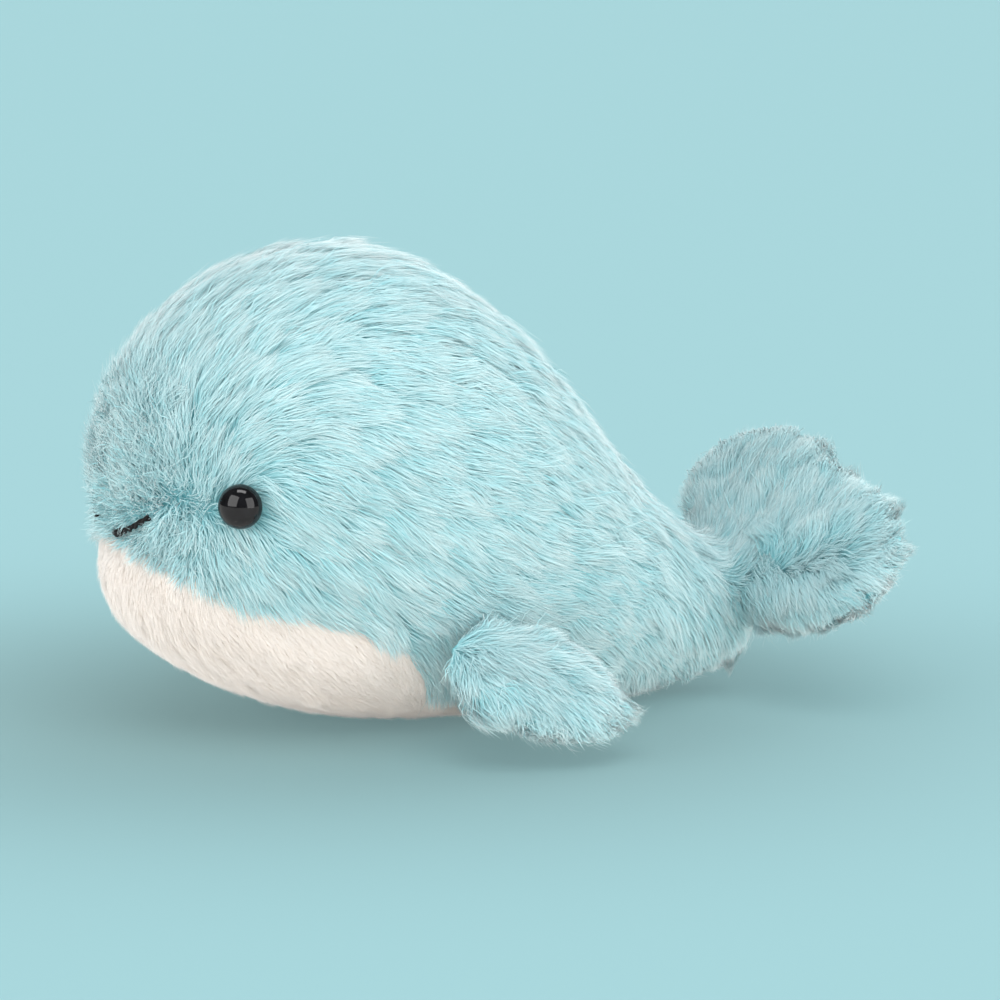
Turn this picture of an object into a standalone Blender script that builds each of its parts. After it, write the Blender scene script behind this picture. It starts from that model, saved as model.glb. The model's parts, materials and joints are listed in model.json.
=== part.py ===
"""Plush whale: a stuffed toy sewn from fur panels, with a cream belly and plastic eyes.

Run it with blender --background --python part.py, or from Blender's text editor.
Metres, +Z up. The whale faces -Y, its left side is +X, and it lies on its belly at Z = 0.
"""

import math

import bmesh
import bpy
from mathutils import Matrix, Vector

# Body: an egg that tapers into a round tail end, the tail ball
BODY_LENGTH = 0.1580
BODY_WIDTH = 0.1120
BODY_HEIGHT = 0.1190
TAIL_BALL_RADIUS = 0.0185
TAIL_BALL_HEIGHT = 0.0215
NOSE_OPENING_RADIUS = 0.0014
CREASE_DEPTH = 0.0045
CREASE_HEIGHT = 0.0100
CREASE_WIDTH = 0.0300
CREASE_REACH = 0.0250
BELLY_FLAT_DEPTH = 0.0005

# Fabric walls, and the gaps between the pieces
BODY_WALL = 0.0024
LIMB_WALL = 0.0014
SEAM_GAP = 0.0003
STUFFING_GAP = 0.0004
HINGE_GAP = 0.0004
CUTTER_OVERRUN = 0.0300

# Safety eyes: a dome on a ribbed post, held by a lock washer inside the head
EYE_RADIUS = 0.0053
EYE_DOME = 0.0044
EYE_RIM = 0.0006
EYE_BACK = 0.0560
EYE_HEIGHT = 0.0607
EYE_FORWARD_TURN = math.radians(35)
POST_RADIUS = 0.0021
POST_LENGTH = 0.0120
POST_RIB = 0.0004
POST_GAP = 0.0003
WASHER_RADIUS = 0.0060
WASHER_THICKNESS = 0.0014
WASHER_COLLAR = 0.0012

# Mouth: one line of thread, sewn over the corner where the three body panels meet
MOUTH_HEIGHT = 0.0495
MOUTH_HALF_WIDTH = 0.0215
MOUTH_RISE = 0.0056
THREAD_RADIUS = 0.0008

# Tail flukes: one pad whose root cups the tail ball
FLUKE_HALF_SPAN = 0.0590
FLUKE_HALF_CHORD = 0.0570
FLUKE_CENTRE = 0.0270
FLUKE_HALF_THICKNESS = 0.0085
FLUKE_ROOT_HALF_THICKNESS = 0.0160
FLUKE_VALLEY = 0.0030
FLUKE_RISE = math.radians(40)
FLUKE_ROLL = math.radians(14)

# Flippers: two pads sewn to the flanks along a straight root
FLIPPER_LENGTH = 0.0350
FLIPPER_CENTRE_BACK = 0.0090
FLIPPER_CENTRE_OUT = 0.0140
FLIPPER_HALF_THICKNESS = 0.0064
FLIPPER_ROOT_RADIUS = 0.0034
FLIPPER_ROOT_BACK = 0.0660
FLIPPER_ROOT_HEIGHT = 0.0285
FLIPPER_DROOP = math.radians(34)
FLIPPER_TURN = math.radians(12)

# Counts of cage faces. Round the body, the belly takes its share and each side the rest.
BODY_COLUMNS = 12
BELLY_COLUMNS = 4
FLUKE_SEGMENTS = 14
FLUKE_RINGS = 6
FLIPPER_SEGMENTS = 10
FLIPPER_RINGS = 4
TURNED_STEPS = 20
DOME_STEPS = 5
PROBE_SPOTS = 8
POST_RIBS = 3
BALL_CUTTER_SEGMENTS = 40
BALL_CUTTER_RINGS = 20
MOUTH_POINTS = 11

# Rings of the body behind its nose, as shares: place along the length, top and bottom of
# the height, half of the width, the belly seam's angle from straight down as a share of a
# half turn, and how square the ring is
BODY_RING_SHARES = (
    (0.004, 0.530, 0.320, 0.070, 0.480, 0.00),
    (0.032, 0.690, 0.238, 0.205, 0.438, 0.06),
    (0.090, 0.815, 0.160, 0.325, 0.404, 0.10),
    (0.180, 0.920, 0.092, 0.420, 0.380, 0.12),
    (0.300, 0.985, 0.034, 0.478, 0.362, 0.12),
    (0.430, 1.000, 0.008, 0.500, 0.310, 0.12),
    (0.560, 0.945, 0.007, 0.484, 0.230, 0.12),
    (0.680, 0.820, 0.008, 0.434, 0.200, 0.10),
    (0.790, 0.640, 0.008, 0.350, 0.160, 0.07),
    (0.895, 0.445, 0.010, 0.245, 0.115, 0.03),
)
BALL_RING_SHARES = (0.00, 0.40, 0.78)
BELLY_PRESS_SHARE = 0.20
BALL_SEAM_SHARE = 0.085
WIDEST_SHARE = 0.46

# Outlines as radius shares at even angles round each pad's centre. The flukes' table
# starts at the middle of the trailing edge and goes half way round, for one side.
FLUKE_OUTLINE_SHARES = (0.45, 0.54, 0.74, 0.95, 0.96, 0.74, 0.48, 0.42, 0.44)
FLIPPER_OUTLINE_SHARES = (0.60, 0.86, 0.84, 0.72, 0.67, 0.63, 0.59, 0.64, 0.60, 0.49, 0.48, 0.50)

# Marks on the faces of a smooth form: which panel they are cut into
LEFT, RIGHT, BELLY, UPPER, UNDER, OPENING = range(6)

FUR_BLUE = (0.371, 0.651, 0.680, 1.0)
PLUSH_CREAM = (0.871, 0.804, 0.730, 1.0)
EYE_BLACK = (0.008, 0.008, 0.009, 1.0)
THREAD_BLACK = (0.012, 0.011, 0.011, 1.0)
FILL_WHITE = (0.830, 0.830, 0.810, 1.0)
WASHER_WHITE = (0.700, 0.700, 0.680, 1.0)


def clear_scene():
    """Remove every object that the new scene starts with."""
    for item in list(bpy.data.objects):
        bpy.data.objects.remove(item, do_unlink=True)


def make_collection(name):
    """Return a new collection linked to the scene."""
    collection = bpy.data.collections.new(name)
    bpy.context.scene.collection.children.link(collection)
    return collection


def make_material(name, colour, roughness, metallic=0.0):
    """Return a Principled material with a plain colour."""
    material = bpy.data.materials.new(name)
    material.use_nodes = True
    shader = material.node_tree.nodes["Principled BSDF"]
    shader.inputs["Base Color"].default_value = colour
    shader.inputs["Roughness"].default_value = roughness
    shader.inputs["Metallic"].default_value = metallic
    material.diffuse_color = colour
    return material


def add_empty(name, collection, parent, place):
    """Add an empty that carries other objects."""
    item = bpy.data.objects.new(name, None)
    collection.objects.link(item)
    item.parent = parent
    item.matrix_local = place
    return item


def add_object(name, bm, collection, material, parent, place=None):
    """Make an object from a bmesh, placed in its parent's frame."""
    mesh = bpy.data.meshes.new(name)
    bm.to_mesh(mesh)
    bm.free()
    mesh.shade_smooth()
    item = bpy.data.objects.new(name, mesh)
    collection.objects.link(item)
    if material:
        mesh.materials.clear()
        mesh.materials.append(material)
        mesh.polygons.foreach_set("material_index", [0] * len(mesh.polygons))
    item.parent = parent
    item.matrix_local = place or Matrix.Identity(4)
    return item


def add_guide(name, bm, collection, parent, place=None):
    """Make an object that only shapes others: a cutter, or a form to cut panels from."""
    item = add_object(name, bm, collection, None, parent, place)
    item.hide_render = True
    item.display_type = "WIRE"
    return item


def cut(item, cutter):
    """Cut one object with another."""
    boolean = item.modifiers.new(cutter.name, "BOOLEAN")
    boolean.operation = "DIFFERENCE"
    boolean.object = cutter


def surface_point(item, origin, direction):
    """Return where a line first meets an object's finished surface, in its own frame."""
    graph = bpy.context.evaluated_depsgraph_get()
    found, point, _normal, _face = item.evaluated_get(graph).ray_cast(origin, direction)
    if not found:
        raise ValueError(f"no surface of {item.name} on this line")
    return point


def surface_places(item):
    """Return the vertex places of an object's finished surface, in its parent's frame."""
    graph = bpy.context.evaluated_depsgraph_get()
    shape = item.evaluated_get(graph)
    places = [item.matrix_local @ vert.co for vert in shape.to_mesh().vertices]
    shape.to_mesh_clear()
    return places


def smooth_step(low, high, value):
    """Return 0 below low, 1 above high and a smooth step between."""
    share = min(1.0, max(0.0, (value - low) / (high - low)))
    return share * share * (3.0 - 2.0 * share)


def round_table(values, share):
    """Return a smooth value from a closed table, at a share of its whole round."""
    count = len(values)
    place = (share % 1.0) * count
    index = int(place)
    step = place - index
    before, here, after, beyond = (values[(index + k) % count] for k in (-1, 0, 1, 2))
    bend = 2.0 * before - 5.0 * here + 4.0 * after - beyond
    twist = 3.0 * here - before - 3.0 * after + beyond
    return here + 0.5 * step * ((after - before) + step * (bend + step * twist))


def signed_power(value, exponent):
    """Return a power that keeps the sign."""
    return math.copysign(abs(value) ** exponent, value)


def cage_swell(faces_round):
    """Return how far a round cage stands outside the form that smoothing makes of it."""
    return 1.0 / (1.0 - 0.25 * (1.0 - math.cos(math.tau / faces_round)))


class Ring:
    """One ring of the body's cage: an egg-shaped section across Y."""

    def __init__(self, y, top, bottom, half_width, seam, squareness, widest_share):
        swell = cage_swell(BODY_COLUMNS)
        self.y = y
        self.widest = bottom + (top - bottom) * widest_share
        self.above = (top - self.widest) * swell
        self.below = (self.widest - bottom) * swell
        self.half_width = half_width * swell
        self.seam = seam
        self.exponent = 1.0 - squareness

    def point(self, column):
        """Return the cage point of a column, counted from the belly's middle to the left."""
        edge = BELLY_COLUMNS / 2
        side_columns = BODY_COLUMNS / 2 - edge
        press = 1.0
        if abs(column) <= edge:
            angle = self.seam * column / edge
            away = smooth_step(0.5, 1.0, abs(column) / edge)
            press = BELLY_PRESS_SHARE + (1.0 - BELLY_PRESS_SHARE) * away
        else:
            step = (abs(column) - edge) / side_columns
            angle = math.copysign(self.seam + (math.pi - self.seam) * step, column)
        x = self.half_width * signed_power(math.sin(angle), self.exponent)
        rise = signed_power(-math.cos(angle), self.exponent * press)
        z = self.widest + rise * (self.above if rise > 0 else self.below)
        return creased(Vector((x, self.y, z)))


def creased(point):
    """Press the mouth's crease into a point of the body."""
    front = max(0.0, 1.0 - max(0.0, point.y) / CREASE_REACH)
    across = math.exp(-((point.x / CREASE_WIDTH) ** 2))
    level = math.exp(-(((point.z - MOUTH_HEIGHT) / CREASE_HEIGHT) ** 2))
    return point + Vector((0, CREASE_DEPTH * front * across * level, 0))


def body_rings():
    """Return the body's rings from the nose opening to the end of the tail ball."""
    rings = [
        Ring(0.0, MOUTH_HEIGHT + NOSE_OPENING_RADIUS, MOUTH_HEIGHT - NOSE_OPENING_RADIUS,
             NOSE_OPENING_RADIUS, math.pi / 2, 0.0, 0.5)
    ]
    for along, top, bottom, half_width, seam, squareness in BODY_RING_SHARES:
        rings.append(
            Ring(along * BODY_LENGTH, top * BODY_HEIGHT, bottom * BODY_HEIGHT,
                 half_width * BODY_WIDTH, seam * math.pi, squareness, WIDEST_SHARE)
        )
    for share in BALL_RING_SHARES:
        turn = share * math.pi / 2
        radius = TAIL_BALL_RADIUS * math.cos(turn)
        rings.append(
            Ring(BODY_LENGTH + TAIL_BALL_RADIUS * math.sin(turn), TAIL_BALL_HEIGHT + radius,
                 TAIL_BALL_HEIGHT - radius, radius, BALL_SEAM_SHARE * math.pi, 0.0, 0.5)
        )
    return rings


def body_cage():
    """Return the body's closed cage, its faces marked with their panels."""
    rings = body_rings()
    layers = len(rings) + 1
    bm = bmesh.new()
    bmesh.ops.create_uvsphere(bm, u_segments=BODY_COLUMNS, v_segments=layers, radius=1.0)
    for face in bm.faces:
        middle = face.calc_center_median()
        column = math.atan2(middle.x, middle.y) / math.tau * BODY_COLUMNS
        if len(face.verts) == 3:
            face.material_index = OPENING
        elif abs(column) < BELLY_COLUMNS / 2:
            face.material_index = BELLY
        else:
            face.material_index = LEFT if column > 0 else RIGHT
    for vert in bm.verts:
        layer = round(math.acos(max(-1.0, min(1.0, vert.co.z))) / math.pi * layers)
        column = math.atan2(vert.co.x, vert.co.y) / math.tau * BODY_COLUMNS
        if layer == 0:
            vert.co = creased(Vector((0, 0, MOUTH_HEIGHT)))
        elif layer == layers:
            vert.co = (0, BODY_LENGTH + TAIL_BALL_RADIUS, TAIL_BALL_HEIGHT)
        else:
            vert.co = rings[layer - 1].point(column)
    bmesh.ops.recalc_face_normals(bm, faces=bm.faces)
    return bm


def pad_cage(outline, centre, thickness, valley, segments, rings):
    """Return the closed cage of a stuffed limb, its seam in the plane Z = 0.

    outline gives the reach along X and Y at a share of the round, thickness the half
    thickness at a point, and valley how far the upper side is pressed in there.
    """
    bm = bmesh.new()
    bmesh.ops.create_uvsphere(bm, u_segments=segments, v_segments=rings, radius=1.0)
    swell = cage_swell(segments)
    for face in bm.faces:
        face.material_index = UPPER if face.calc_center_median().z > 0 else UNDER
    for vert in bm.verts:
        reach = outline(math.atan2(vert.co.x, vert.co.y) / math.tau) * swell
        x = centre.x + vert.co.x * reach.x
        y = centre.y + vert.co.y * reach.y
        lift = vert.co.z * thickness(x, y)
        vert.co = (x, y, lift - max(0.0, vert.co.z) * valley(x, y))
    bmesh.ops.recalc_face_normals(bm, faces=bm.faces)
    return bm


def add_form(name, cage, guides, parent, place=None):
    """Keep a cage as a guide object, smoothed once, and return the object."""
    form = add_guide(name, cage, guides, parent, place)
    smooth = form.modifiers.new("Subdivision", "SUBSURF")
    smooth.levels = 1
    smooth.render_levels = smooth.levels
    return form


def form_mesh(form):
    """Return a bmesh of a guide form as it is after smoothing."""
    graph = bpy.context.evaluated_depsgraph_get()
    mesh = bpy.data.meshes.new_from_object(form.evaluated_get(graph))
    bm = bmesh.new()
    bm.from_mesh(mesh)
    bpy.data.meshes.remove(mesh)
    return bm


def panel(form, mark, wall):
    """Return one panel of a form: its marked faces, drawn back from the seams and walled."""
    bm = form_mesh(form)
    layer = bm.verts.layers.float_vector.new("inward")
    bm.normal_update()
    for vert in bm.verts:
        vert[layer] = -vert.normal
    gone = [face for face in bm.faces if face.material_index != mark]
    bmesh.ops.delete(bm, geom=gone, context="FACES")
    moves = {}
    for vert in bm.verts:
        inner = [edge for edge in vert.link_edges if not edge.is_boundary]
        if vert.is_boundary and inner:
            step = inner[0].other_vert(vert).co - vert.co
            moves[vert] = step.normalized() * 0.5 * SEAM_GAP
    for vert, move in moves.items():
        vert.co += move
    made = bmesh.ops.extrude_face_region(bm, geom=bm.faces[:])
    for item in made["geom"]:
        if isinstance(item, bmesh.types.BMVert):
            item.co += item[layer] * wall
    bmesh.ops.recalc_face_normals(bm, faces=bm.faces)
    return bm


def filling(form, offset):
    """Return the stuffing of a form: the whole form, moved inward by an offset."""
    bm = form_mesh(form)
    bm.normal_update()
    moves = {vert: vert.normal * offset for vert in bm.verts}
    for vert, move in moves.items():
        vert.co -= move
    return bm


def turned(name, profile, closed, collection, material, parent, place):
    """Make a turned piece from a profile of (radius, height) that runs down its outside."""
    bm = bmesh.new()
    verts = [bm.verts.new((radius, 0.0, height)) for radius, height in profile]
    pairs = list(zip(verts, verts[1:]))
    if closed:
        pairs.append((verts[-1], verts[0]))
    for pair in pairs:
        bm.edges.new(pair)
    item = add_object(name, bm, collection, material, parent, place)
    screw = item.modifiers.new("Turn", "SCREW")
    screw.steps = TURNED_STEPS
    screw.render_steps = screw.steps
    screw.use_merge_vertices = True
    screw.merge_threshold = 0.00001
    return item


def eye_profile():
    """Return the outline of a safety eye: the dome stands on Z = 0, the post hangs below."""
    profile = []
    for step in range(DOME_STEPS + 1):
        turn = 0.5 * math.pi * step / DOME_STEPS
        profile.append((EYE_RADIUS * math.sin(turn), EYE_RIM + EYE_DOME * math.cos(turn)))
    profile.append((EYE_RADIUS, 0.0))
    profile.append((POST_RADIUS, 0.0))
    plain = BODY_WALL + WASHER_THICKNESS + WASHER_COLLAR + 2 * SEAM_GAP
    pitch = (POST_LENGTH - plain) / POST_RIBS
    for rib in range(POST_RIBS):
        start = plain + rib * pitch
        profile.append((POST_RADIUS, -start))
        profile.append((POST_RADIUS - POST_RIB, -start))
        profile.append((POST_RADIUS - POST_RIB, -start - 0.5 * pitch))
    profile.append((POST_RADIUS, -POST_LENGTH))
    profile.append((0.0, -POST_LENGTH))
    return profile


def washer_profile():
    """Return the closed outline of the lock washer, which hangs below Z = 0."""
    bore = POST_RADIUS + POST_GAP
    collar = bore + WASHER_COLLAR
    return [
        (bore, 0.0),
        (WASHER_RADIUS, 0.0),
        (WASHER_RADIUS, -WASHER_THICKNESS),
        (collar, -WASHER_THICKNESS),
        (collar, -WASHER_THICKNESS - WASHER_COLLAR),
        (bore, -WASHER_THICKNESS - WASHER_COLLAR),
    ]


def cylinder(radius, low, high):
    """Return a closed cylinder along Z between two levels."""
    bm = bmesh.new()
    bmesh.ops.create_cone(
        bm, cap_ends=True, segments=TURNED_STEPS, radius1=radius, radius2=radius,
        depth=high - low,
    )
    bmesh.ops.translate(bm, verts=bm.verts, vec=(0, 0, 0.5 * (high + low)))
    return bm


def box(size, centre):
    """Return a closed box."""
    bm = bmesh.new()
    bmesh.ops.create_cube(bm, size=1.0)
    bmesh.ops.scale(bm, verts=bm.verts, vec=size)
    bmesh.ops.translate(bm, verts=bm.verts, vec=centre)
    return bm


def eye_place(form, side):
    """Return the frame of an eye, Z out of the fabric, and how far a washer's rim sinks."""
    away = Vector((side * math.cos(EYE_FORWARD_TURN), -math.sin(EYE_FORWARD_TURN), 0))
    up = Vector((0, 0, 1))
    right = away.cross(up).normalized()
    start = Vector((0, EYE_BACK, EYE_HEIGHT)) + away * BODY_WIDTH
    seat = surface_point(form, start, -away)
    rim = []
    for step in range(PROBE_SPOTS):
        turn = math.tau * step / PROBE_SPOTS
        shift = right * math.cos(turn) + up * math.sin(turn)
        rim.append(surface_point(form, start + shift * WASHER_RADIUS, -away) - seat)
    quarter = PROBE_SPOTS // 4
    out = (rim[0] - rim[2 * quarter]).cross(rim[quarter] - rim[3 * quarter]).normalized()
    if out.dot(away) < 0:
        out = -out
    sink = max(-spot.dot(out) for spot in rim)
    frame = out.to_track_quat("Z", "Y").to_matrix().to_4x4()
    return Matrix.Translation(seat) @ frame, sink


def build_body(form, parts, guides, root, looks):
    """Cut the three body panels from the form, and fill them."""
    pieces = {}
    for name, mark, look in (
        ("body_panel_left", LEFT, "fur"),
        ("body_panel_right", RIGHT, "fur"),
        ("belly_panel", BELLY, "cream"),
    ):
        bm = panel(form, mark, BODY_WALL)
        pieces[name] = add_object(name, bm, parts, looks[look], root)
    bm = filling(form, BODY_WALL + STUFFING_GAP)
    pieces["body_stuffing"] = add_object("body_stuffing", bm, parts, looks["fill"], root)
    level = min(place.z for place in surface_places(form)) + BELLY_FLAT_DEPTH
    size = (BODY_WIDTH, BODY_LENGTH, CUTTER_OVERRUN)
    floor = box(size, (0, 0.5 * BODY_LENGTH, level - 0.5 * CUTTER_OVERRUN))
    cut(pieces["belly_panel"], add_guide("floor_cutter", floor, guides, root))
    return pieces


def build_eyes(form, body, parts, guides, root, looks):
    """Build each eye on its panel, with its hole, its washer and their pocket."""
    for side, word in ((1, "left"), (-1, "right")):
        place, sink = eye_place(form, side)
        seat = place @ Matrix.Translation((0, 0, SEAM_GAP))
        turned(f"eye_{word}", eye_profile(), False, parts, looks["eye"], root, seat)
        behind = place @ Matrix.Translation((0, 0, -BODY_WALL - sink - SEAM_GAP))
        turned(f"eye_washer_{word}", washer_profile(), True, parts, looks["washer"], root, behind)
        hole = cylinder(POST_RADIUS + POST_GAP, -CUTTER_OVERRUN, CUTTER_OVERRUN)
        cutter = add_guide(f"post_cutter_{word}", hole, guides, root, place)
        cut(body[f"body_panel_{word}"], cutter)
        pocket = cylinder(WASHER_RADIUS + STUFFING_GAP, -POST_LENGTH - STUFFING_GAP, CUTTER_OVERRUN)
        cutter = add_guide(f"pocket_cutter_{word}", pocket, guides, root, place)
        cut(body["body_stuffing"], cutter)


def build_mouth(form, parts, root, looks):
    """Lay the smile's thread on the face, level in the middle and up at both ends."""
    curve = bpy.data.curves.new("mouth_thread", "CURVE")
    curve.dimensions = "3D"
    curve.bevel_depth = THREAD_RADIUS
    curve.bevel_resolution = 1
    curve.use_fill_caps = True
    line = curve.splines.new("POLY")
    line.points.add(MOUTH_POINTS - 1)
    for index in range(MOUTH_POINTS):
        share = 2.0 * index / (MOUTH_POINTS - 1) - 1.0
        start = Vector((share * MOUTH_HALF_WIDTH, -BODY_LENGTH, MOUTH_HEIGHT + MOUTH_RISE * share**2))
        spot = surface_point(form, start, Vector((0, 1, 0)))
        spot.y -= THREAD_RADIUS + 2 * SEAM_GAP
        line.points[index].co = (*spot, 1.0)
    item = bpy.data.objects.new("mouth_thread", curve)
    parts.objects.link(item)
    curve.materials.append(looks["thread"])
    item.parent = root


def fluke_cage():
    """Return the flukes' cage: X across, Y along the chord from the hinge."""
    table = FLUKE_OUTLINE_SHARES + FLUKE_OUTLINE_SHARES[-2:0:-1]

    def outline(share):
        reach = round_table(table, share)
        return Vector((reach * FLUKE_HALF_SPAN, reach * FLUKE_HALF_CHORD))

    def thickness(x, y):
        blade = smooth_step(0.0, FLUKE_CENTRE, y)
        return FLUKE_ROOT_HALF_THICKNESS + (FLUKE_HALF_THICKNESS - FLUKE_ROOT_HALF_THICKNESS) * blade

    def valley(x, y):
        middle = 1.0 - smooth_step(0.0, FLUKE_CENTRE, abs(x))
        return FLUKE_VALLEY * middle * smooth_step(0.0, FLUKE_CENTRE, y)

    centre = Vector((0.0, FLUKE_CENTRE))
    return pad_cage(outline, centre, thickness, valley, FLUKE_SEGMENTS, FLUKE_RINGS)


def build_flukes(body_form, parts, guides, root, looks):
    """Build the flukes round the tail ball, on their hinge."""
    centre = Vector((0, BODY_LENGTH, TAIL_BALL_HEIGHT))
    end = [place for place in surface_places(body_form) if place.y >= centre.y]
    reach = max((place - centre).length for place in end)
    turn = Matrix.Rotation(FLUKE_ROLL, 4, "Y") @ Matrix.Rotation(FLUKE_RISE, 4, "X")
    hinge = add_empty("fluke_hinge", parts, root, Matrix.Translation(centre) @ turn)
    ball = bmesh.new()
    bmesh.ops.create_uvsphere(
        ball, u_segments=BALL_CUTTER_SEGMENTS, v_segments=BALL_CUTTER_RINGS,
        radius=reach + HINGE_GAP,
    )
    cutter = add_guide("ball_cutter", ball, guides, hinge)
    form = add_form("fluke_form", fluke_cage(), guides, hinge)
    for name, mark in (("fluke_panel_upper", UPPER), ("fluke_panel_under", UNDER)):
        cut(add_object(name, panel(form, mark, LIMB_WALL), parts, looks["fur"], hinge), cutter)
    bm = filling(form, LIMB_WALL + STUFFING_GAP)
    cut(add_object("fluke_stuffing", bm, parts, looks["fill"], hinge), cutter)


def flipper_cage():
    """Return a flipper's cage: X out from the root, Y towards the tail."""

    def outline(share):
        reach = round_table(FLIPPER_OUTLINE_SHARES, share) * FLIPPER_LENGTH
        return Vector((reach, reach))

    def thickness(x, y):
        blade = smooth_step(0.0, FLIPPER_CENTRE_OUT, x)
        return FLIPPER_ROOT_RADIUS + (FLIPPER_HALF_THICKNESS - FLIPPER_ROOT_RADIUS) * blade

    centre = Vector((FLIPPER_CENTRE_OUT, FLIPPER_CENTRE_BACK))
    return pad_cage(outline, centre, thickness, lambda x, y: 0.0, FLIPPER_SEGMENTS, FLIPPER_RINGS)


def build_flippers(body_form, parts, guides, root, looks):
    """Build both flippers on their root seams."""
    for side, word in ((1, "left"), (-1, "right")):
        out = Vector((side * math.cos(FLIPPER_TURN), math.sin(FLIPPER_TURN), 0))
        back = Vector((-side * math.sin(FLIPPER_TURN), math.cos(FLIPPER_TURN), 0))
        start = Vector((0, FLIPPER_ROOT_BACK, FLIPPER_ROOT_HEIGHT)) + out * BODY_WIDTH
        seat = surface_point(body_form, start, -out)
        blade = out * math.cos(FLIPPER_DROOP) - Vector((0, 0, 1)) * math.sin(FLIPPER_DROOP)
        frame = Matrix((blade, back, blade.cross(back))).transposed().to_4x4()
        place = Matrix.Translation(seat + out * (FLIPPER_ROOT_RADIUS + SEAM_GAP)) @ frame
        hinge = add_empty(f"flipper_hinge_{word}", parts, root, place)
        form = add_form(f"flipper_form_{word}", flipper_cage(), guides, hinge)
        upper, under = (UPPER, UNDER) if side > 0 else (UNDER, UPPER)
        for layer, mark in (("upper", upper), ("under", under)):
            name = f"flipper_{word}_{layer}"
            add_object(name, panel(form, mark, LIMB_WALL), parts, looks["fur"], hinge)
        bm = filling(form, LIMB_WALL + STUFFING_GAP)
        add_object(f"flipper_{word}_stuffing", bm, parts, looks["fill"], hinge)


def place_on_origin(root, parts):
    """Stand the whale on Z = 0, with its box centred over the origin along Y."""
    bpy.context.view_layer.update()
    places = []
    for item in parts.objects:
        if item.type != "EMPTY":
            up = item.parent.matrix_world
            places += [up @ place for place in surface_places(item)]
    along = [place.y for place in places]
    root.location = (0, -0.5 * (min(along) + max(along)), -min(place.z for place in places))
    bpy.context.view_layer.update()


def main():
    """Build the whale."""
    clear_scene()
    parts = make_collection("plush_whale")
    guides = make_collection("guides")
    looks = {
        "fur": make_material("long_pile_fur", FUR_BLUE, 0.85),
        "cream": make_material("short_plush", PLUSH_CREAM, 0.90),
        "eye": make_material("gloss_plastic", EYE_BLACK, 0.08),
        "washer": make_material("washer_plastic", WASHER_WHITE, 0.40),
        "thread": make_material("embroidery_thread", THREAD_BLACK, 0.70),
        "fill": make_material("polyester_fill", FILL_WHITE, 0.95),
    }
    root = add_empty("plush_whale_frame", parts, None, Matrix.Identity(4))
    form = add_form("body_form", body_cage(), guides, root)
    body = build_body(form, parts, guides, root, looks)
    build_eyes(form, body, parts, guides, root, looks)
    build_mouth(form, parts, root, looks)
    build_flukes(form, parts, guides, root, looks)
    build_flippers(form, parts, guides, root, looks)
    place_on_origin(root, parts)


main()
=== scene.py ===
"""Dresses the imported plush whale: a stuffed body, two flippers and a pair of flukes in long pile.

Lengths are in metres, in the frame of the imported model: +Z is up and the snout points along -Y.
Tables in millimetres say so.
"""

import json
import logging
import math
from collections.abc import Callable, Iterable
from dataclasses import dataclass, field
from enum import Enum

import bmesh
import bpy
import numpy as np
from mathutils import Matrix, Vector
from mathutils.bvhtree import BVHTree
from mathutils.kdtree import KDTree


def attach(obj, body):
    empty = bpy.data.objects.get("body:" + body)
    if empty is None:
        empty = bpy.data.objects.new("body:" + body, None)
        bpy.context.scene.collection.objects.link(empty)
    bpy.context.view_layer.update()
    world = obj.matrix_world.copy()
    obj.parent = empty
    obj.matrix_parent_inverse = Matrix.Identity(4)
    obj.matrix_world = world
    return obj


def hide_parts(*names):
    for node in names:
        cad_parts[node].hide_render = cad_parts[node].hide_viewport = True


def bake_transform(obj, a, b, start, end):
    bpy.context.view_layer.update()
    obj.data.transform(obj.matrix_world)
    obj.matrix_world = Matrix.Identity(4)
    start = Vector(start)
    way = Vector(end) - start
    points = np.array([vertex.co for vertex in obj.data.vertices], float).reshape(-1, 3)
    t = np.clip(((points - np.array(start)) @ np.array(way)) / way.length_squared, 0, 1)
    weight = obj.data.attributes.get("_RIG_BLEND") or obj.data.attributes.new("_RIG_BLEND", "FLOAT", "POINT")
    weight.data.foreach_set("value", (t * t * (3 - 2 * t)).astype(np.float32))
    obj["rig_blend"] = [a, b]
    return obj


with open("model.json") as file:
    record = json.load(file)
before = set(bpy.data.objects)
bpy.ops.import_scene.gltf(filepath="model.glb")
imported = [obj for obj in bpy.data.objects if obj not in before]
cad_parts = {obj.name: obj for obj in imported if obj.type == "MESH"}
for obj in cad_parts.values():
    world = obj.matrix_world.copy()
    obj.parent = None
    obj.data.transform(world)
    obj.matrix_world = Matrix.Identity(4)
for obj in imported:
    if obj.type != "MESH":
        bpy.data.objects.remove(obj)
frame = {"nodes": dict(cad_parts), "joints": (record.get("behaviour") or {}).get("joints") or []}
log = logging.getLogger("plush_whale")

MM = 0.001
MERGE = 0.00001

# Where the photographer's camera stood
CAMERA_AZIMUTH = 70.0
CAMERA_ELEVATION = 9.0
CAMERA_DISTANCE = 1.0
CAMERA_TARGET = (0.0, 0.004, 0.0515)
CAMERA_LENS = 144.0

# The tail's and the flippers' own directions, as the model's joints hold them
TAIL_RISE = 40.0
TAIL_ROLL = 14.0
FLIPPER_DROOP = 34.0
FLIPPER_TURN = 12.0

# A guide walks over the skin in steps of this length
GUIDE_STEP = 0.0016
GUIDE_STEPS = 10
FLOOR_CLEAR = 0.0004
# How high a strand's ridge stands, as a share of its width
RIDGE = 0.35

# What fills an eye's hole in the skin: how deep its middle lies under the widest ring, and its size
PLUG_DEPTH = 0.0055
PLUG_FOOT = 0.0055
PLUG_HEAD = 0.0045
PLUG_LENGTH = 0.008

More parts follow.
